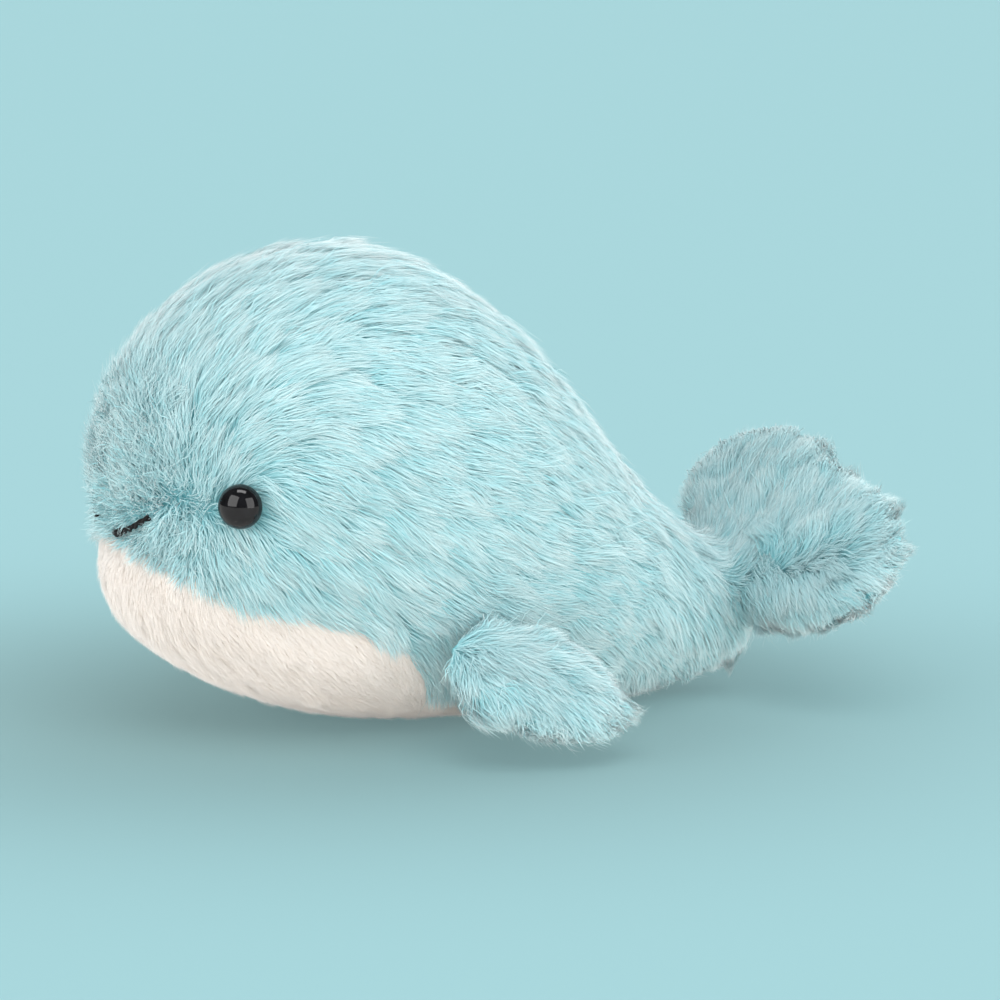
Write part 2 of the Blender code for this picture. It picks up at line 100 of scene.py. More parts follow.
# Which way the pile lies on the body: y and z in mm and the angle in degrees above the way to the tail
COMBING = (
    (-98, 65, 85), (-97, 77, 74), (-90, 92, 55), (-95, 77, 72), (-93, 66, 76), (-83, 100, 46),
    (-86, 85, 60), (-75, 106, 36), (-87, 74, 74), (-61, 114, 18), (-74, 97, 40), (-66, 103, 27),
    (-76, 84, 55), (-44, 118, 4), (-56, 110, 11), (-59, 99, 12), (-68, 86, 21), (-76, 70, 43),
    (-81, 70, 71), (-65, 77, 3), (-55, 86, -6), (-56, 73, -26), (-69, 66, -41), (-48, 97, -5),
    (-33, 107, -12), (-44, 81, -21), (-45, 63, -32), (-28, 99, -12), (-16, 108, -19), (-10, 101, -22),
    (-24, 102, -12), (-21, 73, -18), (-37, 67, -32), (0, 83, -23), (-4, 64, -20), (15, 69, -25),
    (15, 47, -15), (-21, 43, -26), (5, 40, -15), (33, 43, -18), (44, 34, -45), (27, 29, -21),
    (50, 17, -52), (18, 17, -31), (40, 14, -41), (60, 19, -50), (-29, 36, -30), (-8, 31, -16),
    (-32, 26, -47), (-84, 63, 90), (-85, 53, -91), (-81, 49, -65), (-76, 44, -50), (-88, 58, -94),
    (-93, 54, -96), (-97, 46, -95), (-63, 43, -38), (-38, 43, -30), (-32, 68, -24), (-45, 74, -26),
    (-57, 75, -30), (-63, 35, -40), (-49, 29, -36), (-86, 43, -72), (-91, 46, -89), (-96, 61, 76),
    (-98, 59, 92), (57, 29, -44), (52, 37, -30), (-27, 21, -70), (-28, 10, -80), (-18, 12, -76),
    (-34, 19, -62), (0, 8, -66), (20, 6, -66), (40, 4, -70), (56, 6, -64),
)
COMBING_REACH = 5.0


class Side(Enum):
    """The whale's own left and right; the value is the sign of x there."""

    LEFT = 1
    RIGHT = -1

    @property
    def word(self) -> str:
        """The side's name in the names of nodes and bodies."""
        return self.name.lower()


class Panel(Enum):
    """Which sewn panel of the body a face of its skin belongs to."""

    BODY = 0
    BELLY = 1
    FLUKES = 2


# ---------------------------------------------------------------- small tools


def linear(code: str) -> tuple[float, float, float, float]:
    """Turns an sRGB hex colour into the linear colour that Blender takes.

    Args:
        code: Six hex digits, such as "a0cdd2".

    Returns:
        Red, green, blue and an alpha of 1.
    """
    parts = [int(code[at:at + 2], 16) / 255 for at in (0, 2, 4)]
    lit = [p / 12.92 if p <= 0.04045 else ((p + 0.055) / 1.055) ** 2.4 for p in parts]
    return (lit[0], lit[1], lit[2], 1.0)


def add_node(tree: bpy.types.NodeTree, kind: str, inputs: dict | None = None, **settings) -> bpy.types.Node:
    """Adds a node with its settings, values and links.

    Args:
        tree: The node tree that gets it.
        kind: The node's type name.
        inputs: By socket name or number, a value to set or an output socket to link from.
        **settings: The node's own properties.

    Returns:
        The new node.
    """
    node = tree.nodes.new(kind)
    for name, value in settings.items():
        setattr(node, name, value)
    for name, value in (inputs or {}).items():
        if isinstance(value, bpy.types.NodeSocket):
            tree.links.new(value, node.inputs[name])
        else:
            node.inputs[name].default_value = value
    return node


def new_material(name: str) -> tuple[bpy.types.Material, bpy.types.NodeTree, bpy.types.Node]:
    """Makes an empty node material.

    Args:
        name: The real material's name.

    Returns:
        The material, its tree and its output node.
    """
    material = bpy.data.materials.new(name)
    material.use_nodes = True
    material.node_tree.nodes.clear()
    return material, material.node_tree, add_node(material.node_tree, "ShaderNodeOutputMaterial")


def add_ramp(
    tree: bpy.types.NodeTree, place: bpy.types.NodeSocket, stops: Iterable[tuple[float, str]],
) -> bpy.types.Node:
    """Adds a colour ramp.

    Args:
        tree: The node tree that gets it.
        place: The socket that says where on the ramp a point is.
        stops: Each stop's place from 0 to 1 and its hex colour, at least two.

    Returns:
        The ramp's node.
    """
    node = add_node(tree, "ShaderNodeValToRGB", {0: place})
    stops = list(stops)
    elements = node.color_ramp.elements
    while len(elements) < len(stops):
        elements.new(0.5)
    for element, (spot, code) in zip(elements, stops):
        element.position = spot
        element.color = linear(code)
    return node


def add_finish(tree: bpy.types.NodeTree, output: bpy.types.Node, **inputs) -> None:
    """Adds the shader and links it to the output.

    Args:
        tree: The material's tree.
        output: Its output node.
        **inputs: The shader's values and links, with _ for a space in a socket's name.
    """
    shader = add_node(
        tree, "ShaderNodeBsdfPrincipled", {name.replace("_", " "): value for name, value in inputs.items()},
    )
    tree.links.new(shader.outputs[0], output.inputs[0])


def object_noise(tree: bpy.types.NodeTree, scale: float, **inputs) -> bpy.types.NodeSocket:
    """Adds a noise in the piece's own coordinates.

    Args:
        tree: The material's tree.
        scale: The noise's scale, in marks to the metre.
        **inputs: The noise's other values.

    Returns:
        The noise's value.
    """
    place = add_node(tree, "ShaderNodeTexCoord")
    noise = add_node(tree, "ShaderNodeTexNoise", {"Vector": place.outputs["Object"], "Scale": scale, **inputs})
    return noise.outputs[0]


def unit(rows: np.ndarray) -> np.ndarray:
    """Scales each row to a length of 1."""
    return rows / np.maximum(np.linalg.norm(rows, axis=-1, keepdims=True), 1e-12)


def dots(one: np.ndarray, other: np.ndarray) -> np.ndarray:
    """The dot product of each pair of rows, kept as a column."""
    return np.sum(one * other, axis=-1, keepdims=True)


def eased(value: np.ndarray | float, low: float, high: float) -> np.ndarray:
    """A smooth step of value from 0 at low to 1 at high."""
    share = np.clip((np.asarray(value) - low) / (high - low), 0.0, 1.0)
    return share * share * (3 - 2 * share)


def shown(name: str, mesh: bpy.types.Mesh, material: bpy.types.Material) -> bpy.types.Object:
    """Puts a finished mesh in the scene.

    Args:
        name: The piece's name.
        mesh: Its mesh, already in place.
        material: Its finish.

    Returns:
        The new object, at the origin.
    """
    mesh.name = name
    mesh.materials.clear()
    mesh.materials.append(material)
    piece = bpy.data.objects.new(name, mesh)
    bpy.context.scene.collection.objects.link(piece)
    return piece


def evaluated_mesh(data: bpy.types.Mesh | bpy.types.Curve, **modifiers: dict) -> bpy.types.Mesh:
    """Turns a rough mesh or a curve into a mesh with modifiers applied.

    Args:
        data: The rough mesh or the curve.
        **modifiers: By modifier type, the settings it gets.

    Returns:
        The mesh as the modifiers leave it.
    """
    holder = bpy.data.objects.new("rough", data)
    bpy.context.scene.collection.objects.link(holder)
    for kind, settings in modifiers.items():
        modifier = holder.modifiers.new(kind, kind)
        for name, value in settings.items():
            setattr(modifier, name, value)
    graph = bpy.context.evaluated_depsgraph_get()
    mesh = bpy.data.meshes.new_from_object(holder.evaluated_get(graph))
    bpy.data.objects.remove(holder)
    return mesh


def finished_mesh(form: bmesh.types.BMesh, **modifiers: dict) -> bpy.types.Mesh:
    """Turns a bmesh into a mesh with modifiers applied, and frees the bmesh."""
    rough = bpy.data.meshes.new("rough")
    form.to_mesh(rough)
    form.free()
    mesh = evaluated_mesh(rough, **modifiers)
    bpy.data.meshes.remove(rough)
    return mesh


def smooth_faces(form: bmesh.types.BMesh) -> None:
    """Shades every face of a form smoothly."""
    for face in form.faces:
        face.smooth = True


def seated(place: np.ndarray, axis: np.ndarray) -> Matrix:
    """The matrix that takes a turned piece from the origin to its place, with its Z along an axis."""
    return Matrix.Translation(Vector(place)) @ Vector(axis).to_track_quat("Z", "Y").to_matrix().to_4x4()


def report(piece: bpy.types.Object) -> None:
    """Logs a finished piece and its faces."""
    log.info("%s: %d faces", piece.name, len(piece.data.polygons))


# ---------------------------------------------------------------- finishes


@dataclass(frozen=True)
class PileFibre:
    """Acrylic pile fibre, extruded and left matt: light runs along it softly and its tips are palest.

    The colour follows the strand's own UV map: u is the strand's tone and v runs from root to tip. The ramp
    darkens towards the root, partly the fibre's own colour and partly painted shade deep in the pile.
    """

    name: str
    stops: tuple[tuple[float, str], ...]
    along: float = 0.62
    roughness: float = 0.72
    sheen: float = 0.9
    sheen_tint: str = "ffffff"

    def build(self) -> bpy.types.Material:
        """Makes the material."""
        material, tree, output = new_material(self.name)
        strand = add_node(tree, "ShaderNodeUVMap", uv_map="OFBake")
        parts = add_node(tree, "ShaderNodeSeparateXYZ", {0: strand.outputs[0]})
        tone = add_node(
            tree, "ShaderNodeMath", {0: parts.outputs["X"], 1: 1 - self.along}, operation="MULTIPLY",
        )
        place = add_node(
            tree, "ShaderNodeMath", {0: parts.outputs["Y"], 1: self.along, 2: tone.outputs[0]},
            operation="MULTIPLY_ADD",
        )
        add_finish(
            tree, output, Base_Color=add_ramp(tree, place.outputs[0], self.stops).outputs[0],
            Roughness=self.roughness, Specular_IOR_Level=0.25,
            Sheen_Weight=self.sheen, Sheen_Roughness=0.5, Sheen_Tint=linear(self.sheen_tint),
        )
        return material


@dataclass(frozen=True)
class KnitBacking:
    """Knitted polyester backing under the pile: matt rows of small loops, darker between them."""

    name: str
    loop: str
    gap: str
    loop_size: float = 0.0012

    def build(self) -> bpy.types.Material:
        """Makes the material."""
        material, tree, output = new_material(self.name)
        place = add_node(tree, "ShaderNodeTexCoord")
        rows = add_node(tree, "ShaderNodeTexWave", {
            "Vector": place.outputs["Object"], "Scale": 1 / self.loop_size / math.tau,
            "Distortion": 2.0, "Detail": 1.0, "Detail Scale": 2.0,
        }, bands_direction="Z")
        ramp = add_ramp(tree, rows.outputs["Fac"], ((0.1, self.gap), (0.8, self.loop)))
        bump = add_node(
            tree, "ShaderNodeBump", {"Height": rows.outputs["Fac"], "Strength": 0.4, "Distance": 0.0004},
        )
        add_finish(
            tree, output, Base_Color=ramp.outputs[0], Roughness=0.9, Specular_IOR_Level=0.2,
            Normal=bump.outputs[0],
        )
        return material


@dataclass(frozen=True)
class PolishedResin:
    """Injection-moulded acrylic for toy eyes, polished: deep black under a clear, sharp gloss."""

    name: str = "black_acrylic_polished"
    colour: str = "0b0b0d"
    handled: str = "17171a"
    roughness: float = 0.06

    def build(self) -> bpy.types.Material:
        """Makes the material."""
        material, tree, output = new_material(self.name)
        # Faint flow marks of the moulding, about 2 mm apart
        marks = object_noise(tree, 500.0, Detail=3.0)
        ramp = add_ramp(tree, marks, ((0.3, self.colour), (0.75, self.handled)))
        bump = add_node(tree, "ShaderNodeBump", {"Height": marks, "Strength": 0.015, "Distance": 0.0002})
        add_finish(
            tree, output, Base_Color=ramp.outputs[0], Roughness=self.roughness, IOR=1.49,
            Specular_IOR_Level=0.34, Normal=bump.outputs[0],
        )
        return material


@dataclass(frozen=True)
class EmbroideryYarn:
    """Black polyester embroidery yarn, two plies twisted: a low gloss that breaks up along each turn."""

    name: str = "black_polyester_yarn"
    colour: str = "0c0b0c"
    fibre: str = "1c1b1d"

    def build(self) -> bpy.types.Material:
        """Makes the material."""
        material, tree, output = new_material(self.name)
        # Single fibres are too fine to show, so they are drawn 0.15 mm apart
        fibres = object_noise(tree, 6500.0, Detail=2.0)
        ramp = add_ramp(tree, fibres, ((0.35, self.colour), (0.7, self.fibre)))
        add_finish(tree, output, Base_Color=ramp.outputs[0], Roughness=0.6, Specular_IOR_Level=0.2)
        return material


@dataclass(frozen=True)
class PlainWasher:
    """Moulded polyethylene washer, satin white and slightly mottled; the stuffing hides it."""

    name: str = "white_polyethylene_moulded"
    colour: str = "e4e3df"
    flow: str = "d6d5d0"

    def build(self) -> bpy.types.Material:
        """Makes the material."""
        material, tree, output = new_material(self.name)
        ramp = add_ramp(tree, object_noise(tree, 700.0), ((0.35, self.flow), (0.65, self.colour)))
        add_finish(tree, output, Base_Color=ramp.outputs[0], Roughness=0.45, IOR=1.51)
        return material


# ---------------------------------------------------------------- skin and pile


@dataclass
class Button:
    """An eye as the model holds it: where it sits, which way it looks and how wide it is."""

    apex: np.ndarray
    axis: np.ndarray
    radius: float
    back: float

    @classmethod
    def of(cls, node: str, side: Side) -> "Button":
        """Measures an eye's node.

        Args:
            node: The CAD node's name.
            side: Which side of the head it is on.

        Returns:
            The eye's apex, outward axis, radius, and how far the widest ring lies behind the apex.
        """
        places = np.array([v.co for v in frame["nodes"][node].data.vertices], float)
        centre = places.mean(0)
        spread, ways = np.linalg.eigh(np.cov((places - centre).T))
        # Two of the three spreads are equal on a turned piece; the axis is the other one
        axis = ways[:, 0] if spread[2] - spread[1] < spread[1] - spread[0] else ways[:, 2]
        axis = axis * np.sign(axis[0]) * side.value
        along = (places - centre) @ axis
        out = np.linalg.norm((places - centre) - np.outer(along, axis), axis=1)
        widest = out > out.max() * 0.98
        back = float(along.max() - along[widest].max())
        return cls(centre + axis * along.max(), axis, float(out.max()), back)

    def offsets(self, places: np.ndarray) -> tuple[np.ndarray, np.ndarray]:
        """How high places lie over the eye's widest ring, and how they lie off its axis."""
        off = places - (self.apex - self.axis * self.back)
        above = off @ self.axis
        return above, off - above[..., None] * self.axis

    def clear(self, places: np.ndarray, share: float = 0.86, under: float = 0.0009) -> np.ndarray:
        """Moves places out of the dome the short way: outwards, or down behind its rim.

        Args:
            places: Rows of places.
            share: How far out they have to be, as a share of the radius.
            under: How far behind the widest ring they have to be otherwise.

        Returns:
            The places, moved.
        """
        above, away = self.offsets(places)
        far = np.linalg.norm(away, axis=-1)
        out, down = self.radius * share - far, above + under
        inside = (out > 0) & (down > 0) & (above < 3 * self.back)
        push = np.where(inside & (out <= down), out / np.maximum(far, 1e-9), 0.0)
        drop = np.where(inside & (out > down), down, 0.0)
        return places + away * push[..., None] - self.axis * drop[..., None]

    def hides(self, places: np.ndarray, share: float = 0.55) -> np.ndarray:
        """Says which places on the skin lie under the eye's middle."""
        above, away = self.offsets(places)
        return (np.linalg.norm(away, axis=-1) < self.radius * share) & (np.abs(above) < 2 * self.radius)


@dataclass
class Ground:
    """A skin as arrays, with what the pile does at each of its vertices."""

    places: np.ndarray
    faces: np.ndarray
    normals: np.ndarray
    edges: np.ndarray
    flow: np.ndarray = field(default_factory=lambda: np.zeros((0, 3)))
    reach: np.ndarray = field(default_factory=lambda: np.zeros(0))
    hold: np.ndarray = field(default_factory=lambda: np.zeros(0))
    frizz: np.ndarray = field(default_factory=lambda: np.zeros(0))
    shade: np.ndarray = field(default_factory=lambda: np.zeros(0))
    loft: np.ndarray = field(default_factory=lambda: np.zeros(0))
    leave: np.ndarray = field(default_factory=lambda: np.zeros(0))

    @classmethod
    def of(cls, form: bmesh.types.BMesh) -> "Ground":
        """Reads a triangulated bmesh."""
        form.verts.ensure_lookup_table()
        form.normal_update()
        return cls(
            np.array([v.co for v in form.verts], float),
            np.array([[v.index for v in f.verts] for f in form.faces]),
            np.array([v.normal for v in form.verts], float),
            np.array([[v.index for v in e.verts] for e in form.edges]),
        )

    def tree(self) -> BVHTree:
        """A search tree over the skin."""
        return BVHTree.FromPolygons(self.places.tolist(), self.faces.tolist(), all_triangles=True)

    def averaged(self, values: np.ndarray, times: int) -> np.ndarray:
        """Evens out a value between neighbouring vertices.

        Args:
            values: One row for each vertex.
            times: How often each vertex takes the mean of its neighbours.

        Returns:
            The evened values.
        """
        values = np.array(values, float)
        ends = np.concatenate((self.edges, self.edges[:, ::-1]))
        count = np.bincount(ends[:, 0], minlength=len(values)).astype(float)
        shape = (-1,) + (1,) * (values.ndim - 1)
        for _ in range(times):
            total = values.copy()
            np.add.at(total, ends[:, 0], values[ends[:, 1]])
            values = total / (count + 1).reshape(shape)
        return values

    def combed(self, flow: np.ndarray, times: int = 3) -> np.ndarray:
        """Evens out directions and lays them on the skin where they would run into it."""
        flow = self.averaged(flow, times)
        into = np.minimum(dots(flow, self.normals), 0.0)
        return unit(flow - self.normals * into)

    def trails(self, guard: Callable[[np.ndarray], np.ndarray]) -> tuple[np.ndarray, np.ndarray]:
        """Walks from each vertex the way the pile lies.

        Args:
            guard: Moves places out of what the pile goes round.

        Returns:
            The places at each step, and the skin's outward directions there.
        """
        tree = self.tree()
        places = np.empty((GUIDE_STEPS + 1, len(self.places), 3))
        leans = np.empty_like(places)
        rises = np.zeros(places.shape[:2])
        places[0], leans[0] = self.places, self.normals
        heading = self.flow
        for step in range(GUIDE_STEPS):
            ahead = places[step] + heading * GUIDE_STEP
            near = [tree.find_nearest(place) for place in ahead.tolist()]
            foot = np.array([tuple(n[0]) for n in near])
            corners = self.faces[[n[2] for n in near]]
            lean = unit(self.normals[corners].mean(1))
            rise = dots(ahead - foot, lean)
            rises[step + 1] = rise[:, 0]
            pull = self.hold[corners].mean(1)[:, None]
            places[step + 1] = guard(ahead - lean * np.where(rise > 0, rise * pull, rise))
            leans[step + 1] = lean
            heading = unit(self.flow[corners].mean(1) + heading * 0.5)
        self.end_at_rims(rises)
        return places, leans

    def end_at_rims(self, rises: np.ndarray) -> None:
        """Shortens the pile whose guides leave the skin by more than it may stand off there.

        Args:
            rises: How high each guide stands over the skin at each step.
        """
        over = rises > self.leave
        first = np.where(over.any(0), over.argmax(0), GUIDE_STEPS)
        number = np.arange(len(first))
        before, after = rises[first - 1, number], rises[first, number]
        part = np.clip((self.leave - before) / np.maximum(after - before, 1e-6), 0, 1)
        self.reach = np.minimum(self.reach, np.maximum(first - 1 + part, 0.5) * GUIDE_STEP)


@dataclass(frozen=True)
class Cut:
    """How a pile is cut: its strands, their size, and how they gather in wisps and locks."""

    strands: int
    width: float
    spans: int
    lift: float
    lift_share: float
    wisp: float
    lock: float
    wisp_pull: float = 0.55
    lock_pull: float = 0.55
    sway: float = 9.0
    lock_sway: float = 10.0
    frizz: float = 0.0004
    stray: float = 0.03
    roll: float = 20.0


@dataclass
class Strands:
    """Strands of pile as arrays: a row of places for each level from root to tip."""

    # Levels by strands by 3: the strands' middle lines, and the skin's outward directions there
    spine: np.ndarray
    lean: np.ndarray
    # For each strand its width, how far it is turned about its length, and its tone from 0 to 1 for pale
    width: np.ndarray
    roll: np.ndarray
    tone: np.ndarray

    def chosen(self, keep: np.ndarray) -> "Strands":
        """The strands that keep says."""
        return Strands(
            self.spine[:, keep], self.lean[:, keep], self.width[keep], self.roll[keep], self.tone[keep]
        )

    def mesh(self, name: str) -> bpy.types.Mesh:
        """Makes the strands as tapering ridged ribbons, so that each shows a face from every side.

        No operator makes hair, so the ribbons are written straight into the mesh.

        Args:
            name: The mesh's name.

        Returns:
            The mesh, with the strands' own UV map.
        """
        levels, count = self.spine.shape[:2]
        spans = levels - 1
        run = np.gradient(self.spine, axis=0)
        # A standing strand shows its width to the toy's own side, so that the pile covers alike all over
        outward = np.zeros_like(self.lean)
        outward[..., 0] = self.spine[..., 0] / (np.abs(self.spine[..., 0]) + 0.010)
        side = unit(np.cross(run, self.lean + outward * 0.12))
        up = unit(np.cross(side, run))
        turn = self.roll[None, :, None]
        side, up = side * np.cos(turn) + up * np.sin(turn), up * np.cos(turn) - side * np.sin(turn)
        taper = 1.0 - 0.5 * (np.arange(levels) / spans)[:, None, None] ** 2
        size = taper * self.width[None, :, None]
        facing = unit(up + self.lean * 0.25)
        per = 3 * spans + 1
        places = np.empty((count, per, 3), np.float32)
        ways = np.empty((count, per, 3), np.float32)
        for place, (across, high) in enumerate(((-0.5, 0.0), (0.0, RIDGE), (0.5, 0.0))):
            points = self.spine + (side * across + up * high) * size
            places[:, place:-1:3] = points[:spans].transpose(1, 0, 2)
            ways[:, place:-1:3] = unit(facing + side * across * 0.7)[:spans].transpose(1, 0, 2)
        places[:, -1], ways[:, -1] = self.spine[-1], facing[-1]
        places[..., 2] = np.maximum(places[..., 2], FLOOR_CLEAR)
        corners = []
        starts = []
        for low in range(0, 3 * spans, 3):
            last = low == 3 * spans - 3
            for near in (low, low + 1):
                starts.append(len(corners))
                corners += [near, near + 1, per - 1] if last else [near, near + 1, near + 4, near + 3]
        first = np.arange(count)[:, None]
        loops = (first * per + np.array(corners)[None]).astype(np.int32)
        mesh = bpy.data.meshes.new(name)
        mesh.vertices.add(count * per)
        mesh.vertices.foreach_set("co", places.ravel())
        mesh.loops.add(loops.size)
        mesh.loops.foreach_set("vertex_index", loops.ravel())
        mesh.polygons.add(count * len(starts))
        mesh.polygons.foreach_set(
            "loop_start", (first * len(corners) + np.array(starts)[None]).astype(np.int32).ravel()
        )
        mesh.update(calc_edges=True)
        across = (np.arange(per) % 3 - 1) * 0.004
        across[-1] = 0.0
        along = np.append(np.repeat(np.arange(spans) / spans, 3), 1.0) * 0.96 + 0.02
        chart = np.empty((count, per, 2), np.float32)
        chart[..., 0] = self.tone[:, None] + across
        chart[..., 1] = along
        layer = mesh.uv_layers.new(name="OFBake")
        layer.data.foreach_set("uv", chart.reshape(-1, 2)[loops.ravel()].ravel())
        mesh.polygons.foreach_set("use_smooth", np.ones(count * len(starts), bool))
        mesh.normals_split_custom_set_from_vertices(ways.reshape(-1, 3))
        return mesh


def leaders(places: np.ndarray, spacing: float, area: float, rng: np.random.Generator) -> np.ndarray:
    """Chooses which strand each strand gathers to.

    Args:
        places: The roots.
        spacing: How far apart the leading strands are.
        area: The area that the strands cover.
        rng: Where the choice comes from.

    Returns:
        For each strand, its leader's number.
    """
    count = min(len(places), max(1, int(area / spacing ** 2)))
    heads = rng.choice(len(places), count, replace=False)
    tree = KDTree(count)
    for number, place in enumerate(places[heads].tolist()):
        tree.insert(place, number)
    tree.balance()
    return heads[[tree.find(place)[1] for place in places.tolist()]]


def grow(
    ground: Ground, faces: np.ndarray, cut: Cut, seed: int, guard: Callable[[np.ndarray], np.ndarray],
    bare: Callable[[np.ndarray], np.ndarray], trails: tuple[np.ndarray, np.ndarray],
) -> Strands:
    """Grows a pile on part of a skin.

    Args:
        ground: The skin.
        faces: The faces that carry the pile.
        cut: How the pile is cut.
        seed: Seeds the random draws.
        guard: Moves places out of what the pile goes round.
        bare: Says which roots carry no strand.
        trails: The ground's own trails.

    Returns:
        The strands.
    """
    rng = np.random.default_rng(seed)
    corners = ground.faces[faces]
    edge_a = ground.places[corners[:, 1]] - ground.places[corners[:, 0]]
    edge_b = ground.places[corners[:, 2]] - ground.places[corners[:, 0]]
    areas = np.linalg.norm(np.cross(edge_a, edge_b), axis=1) / 2
    total = np.cumsum(areas)
    wanted = cut.strands
    spots = (np.arange(wanted) + rng.random(wanted)) / wanted * total[-1]
    home = corners[np.minimum(np.searchsorted(total, spots), len(total) - 1)]
    one, two = np.sqrt(rng.random(wanted)), rng.random(wanted)
    shares = np.stack((1 - one, one * (1 - two), one * two), 1)

    def mixed(values: np.ndarray) -> np.ndarray:
        """A vertex value at each root."""
        return np.einsum("sk,sk...->s...", shares, values[home])

    keep = (mixed(ground.reach) > 0.001) & ~bare(mixed(ground.places))
    home, shares = home[keep], shares[keep]
    count = len(home)
    roots = mixed(ground.places)
    wisp = leaders(roots, cut.wisp, total[-1], rng)
    lock = leaders(roots, cut.lock, total[-1], rng)
    reach = mixed(ground.reach) * rng.uniform(0.72, 1.12, count)
    reach = reach * (1 + 0.12 * rng.standard_normal(count)[lock])
    stray = rng.random(count) < cut.stray
    lift = (cut.lift + cut.lift_share * reach) * rng.uniform(0.55, 1.15, count)
    lift = lift * mixed(ground.loft)
    lift = lift * (1 + 0.22 * rng.standard_normal(count)[lock]) + stray * rng.uniform(0.0, 0.002, count)
    curl = mixed(ground.frizz)
    turn = cut.sway * (1 + 5 * curl ** 2) * rng.standard_normal(count)
    turn += cut.lock_sway * (1 + 2 * curl ** 2) * rng.standard_normal(count)[lock]
    turn += stray * rng.normal(0, 20, count)
    turn = np.radians(turn)[:, None]
    places, leans = trails
    spine = np.empty((cut.spans + 1, count, 3))
    lean = np.empty_like(spine)
    up = unit(mixed(ground.normals))
    for level in range(cut.spans + 1):
        along = level / cut.spans
        steps = np.clip(along * reach / GUIDE_STEP, 0, GUIDE_STEPS - 1e-6)
        low = steps.astype(int)
        part = (steps - low)[:, None]
        here = [
            np.einsum("sk,skc->sc", shares, kept[low[:, None], home]) * (1 - part)
            + np.einsum("sk,skc->sc", shares, kept[low[:, None] + 1, home]) * part
            for kept in (places, leans)
        ]
        lean[level] = unit(here[1])
        run = here[0] - roots
        run = run * np.cos(turn) + np.cross(up, run) * np.sin(turn) + up * dots(up, run) * (1 - np.cos(turn))
        spine[level] = roots + run + lean[level] * (lift * (1 - (1 - along) ** 2))[:, None]
    phase = rng.uniform(0, math.tau, (2, count))
    waves = rng.uniform(0.7, 1.6, count) * (1 + curl)
    side = unit(np.cross(spine[1] - spine[0], up))
    size = cut.frizz * (1 + 2.5 * curl)
    # Short pile gathers less, and a lock mostly shares its direction where a wisp closes up
    gather = np.minimum(reach / 0.011, 1.0) ** 1.5 * (1 - stray * 0.8)
    for level in range(1, cut.spans + 1):
        along = level / cut.spans
        for head, pull, close in ((wisp, cut.wisp_pull, 1.0), (lock, cut.lock_pull, 0.4)):
            goal = spine[level][head] + (roots - roots[head]) * (1 - close)
            spine[level] += (goal - spine[level]) * (pull * along ** 1.4 * gather)[:, None]
        swing = size * along * np.sin(waves * math.tau * along + phase[0])
        nod = size * along * np.sin(waves * math.tau * along + phase[1])
        spine[level] += side * swing[:, None] + lean[level] * nod[:, None]
        spine[level] = guard(spine[level])
    tone = 0.5 + 0.09 * rng.standard_normal(count) + 0.09 * rng.standard_normal(count)[lock]
    # The ground's shade adds painted light and shade to the tone
    tone += 0.10 * rng.standard_normal(count)[wisp] + mixed(ground.shade)
    width = cut.width * rng.uniform(0.7, 1.25, count) * 1.0
    roll = np.radians(rng.uniform(-cut.roll, cut.roll, count))
    return Strands(spine, lean, width, roll, np.clip(tone, 0.02, 0.98))


def skin_form(
    nodes: Iterable[str], voxel: float, sink: float, plugs: Iterable[Button] = (),
) -> bmesh.types.BMesh:
    """Closes stuffed CAD solids into one skin a little below their surface.

    Args:
        nodes: The CAD nodes that the skin stands for.
        voxel: The size of its faces.
        sink: How far below their surface it lies, so that the pile ends at that surface.
        plugs: Eyes whose holes are filled first.

    Returns:
        A triangulated bmesh, with the distance it was sunk as the float layer "sunk".
    """
    form = bmesh.new()
    for name in nodes:
        form.from_mesh(frame["nodes"][name].data)
    bmesh.ops.remove_doubles(form, verts=form.verts, dist=MERGE)
    for eye in plugs:
        # The plug fills the hole from the washer up to just under the eye's rim
        bmesh.ops.create_cone(
            form, cap_ends=True, segments=16, radius1=PLUG_FOOT, radius2=PLUG_HEAD, depth=PLUG_LENGTH,
            matrix=seated(eye.apex - eye.axis * (eye.back + PLUG_DEPTH), eye.axis),
        )
    mesh = finished_mesh(form, REMESH={"mode": "VOXEL", "voxel_size": voxel})
    form = bmesh.new()
    form.from_mesh(mesh)
    bpy.data.meshes.remove(mesh)
    for _ in range(4):
        bmesh.ops.smooth_vert(
            form, verts=form.verts, factor=0.5, use_axis_x=True, use_axis_y=True, use_axis_z=True
        )
    bmesh.ops.triangulate(form, faces=form.faces)
    ground = Ground.of(form)
    tree = ground.tree()
    room = np.empty(len(ground.places))
    for number, (place, normal) in enumerate(zip(ground.places, ground.normals)):
        hit = tree.ray_cast(place - normal * 0.0002, -normal)
        room[number] = hit[3] if hit[3] else sink
    depth = np.minimum(sink, room * 0.28)
    for _ in range(3):
        for one, two in ((0, 1), (1, 0)):
            np.minimum.at(depth, ground.edges[:, one], depth[ground.edges[:, two]] + voxel * 0.25)
    layer = form.verts.layers.float.new("sunk")
    form.verts.ensure_lookup_table()
    for number, vertex in enumerate(form.verts):
        vertex.co -= Vector(ground.normals[number]) * depth[number]
        vertex[layer] = depth[number]
    form.normal_update()
    return form


def distances(places: np.ndarray, nodes: Iterable[str]) -> np.ndarray:
    """How far each place is from the nearest of the CAD nodes.

    Args:
        places: Rows of places.
        nodes: The nodes' names.

    Returns:
        One distance for each place.
    """
    form = bmesh.new()
    for name in nodes:
        form.from_mesh(frame["nodes"][name].data)
    tree = BVHTree.FromBMesh(form)
    form.free()
    return np.array([tree.find_nearest(place)[3] for place in places.tolist()])


def joint(name: str) -> dict:
    """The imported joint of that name."""
    return next(found for found in frame["joints"] if found["name"] == name)


# ---------------------------------------------------------------- sub-assemblies


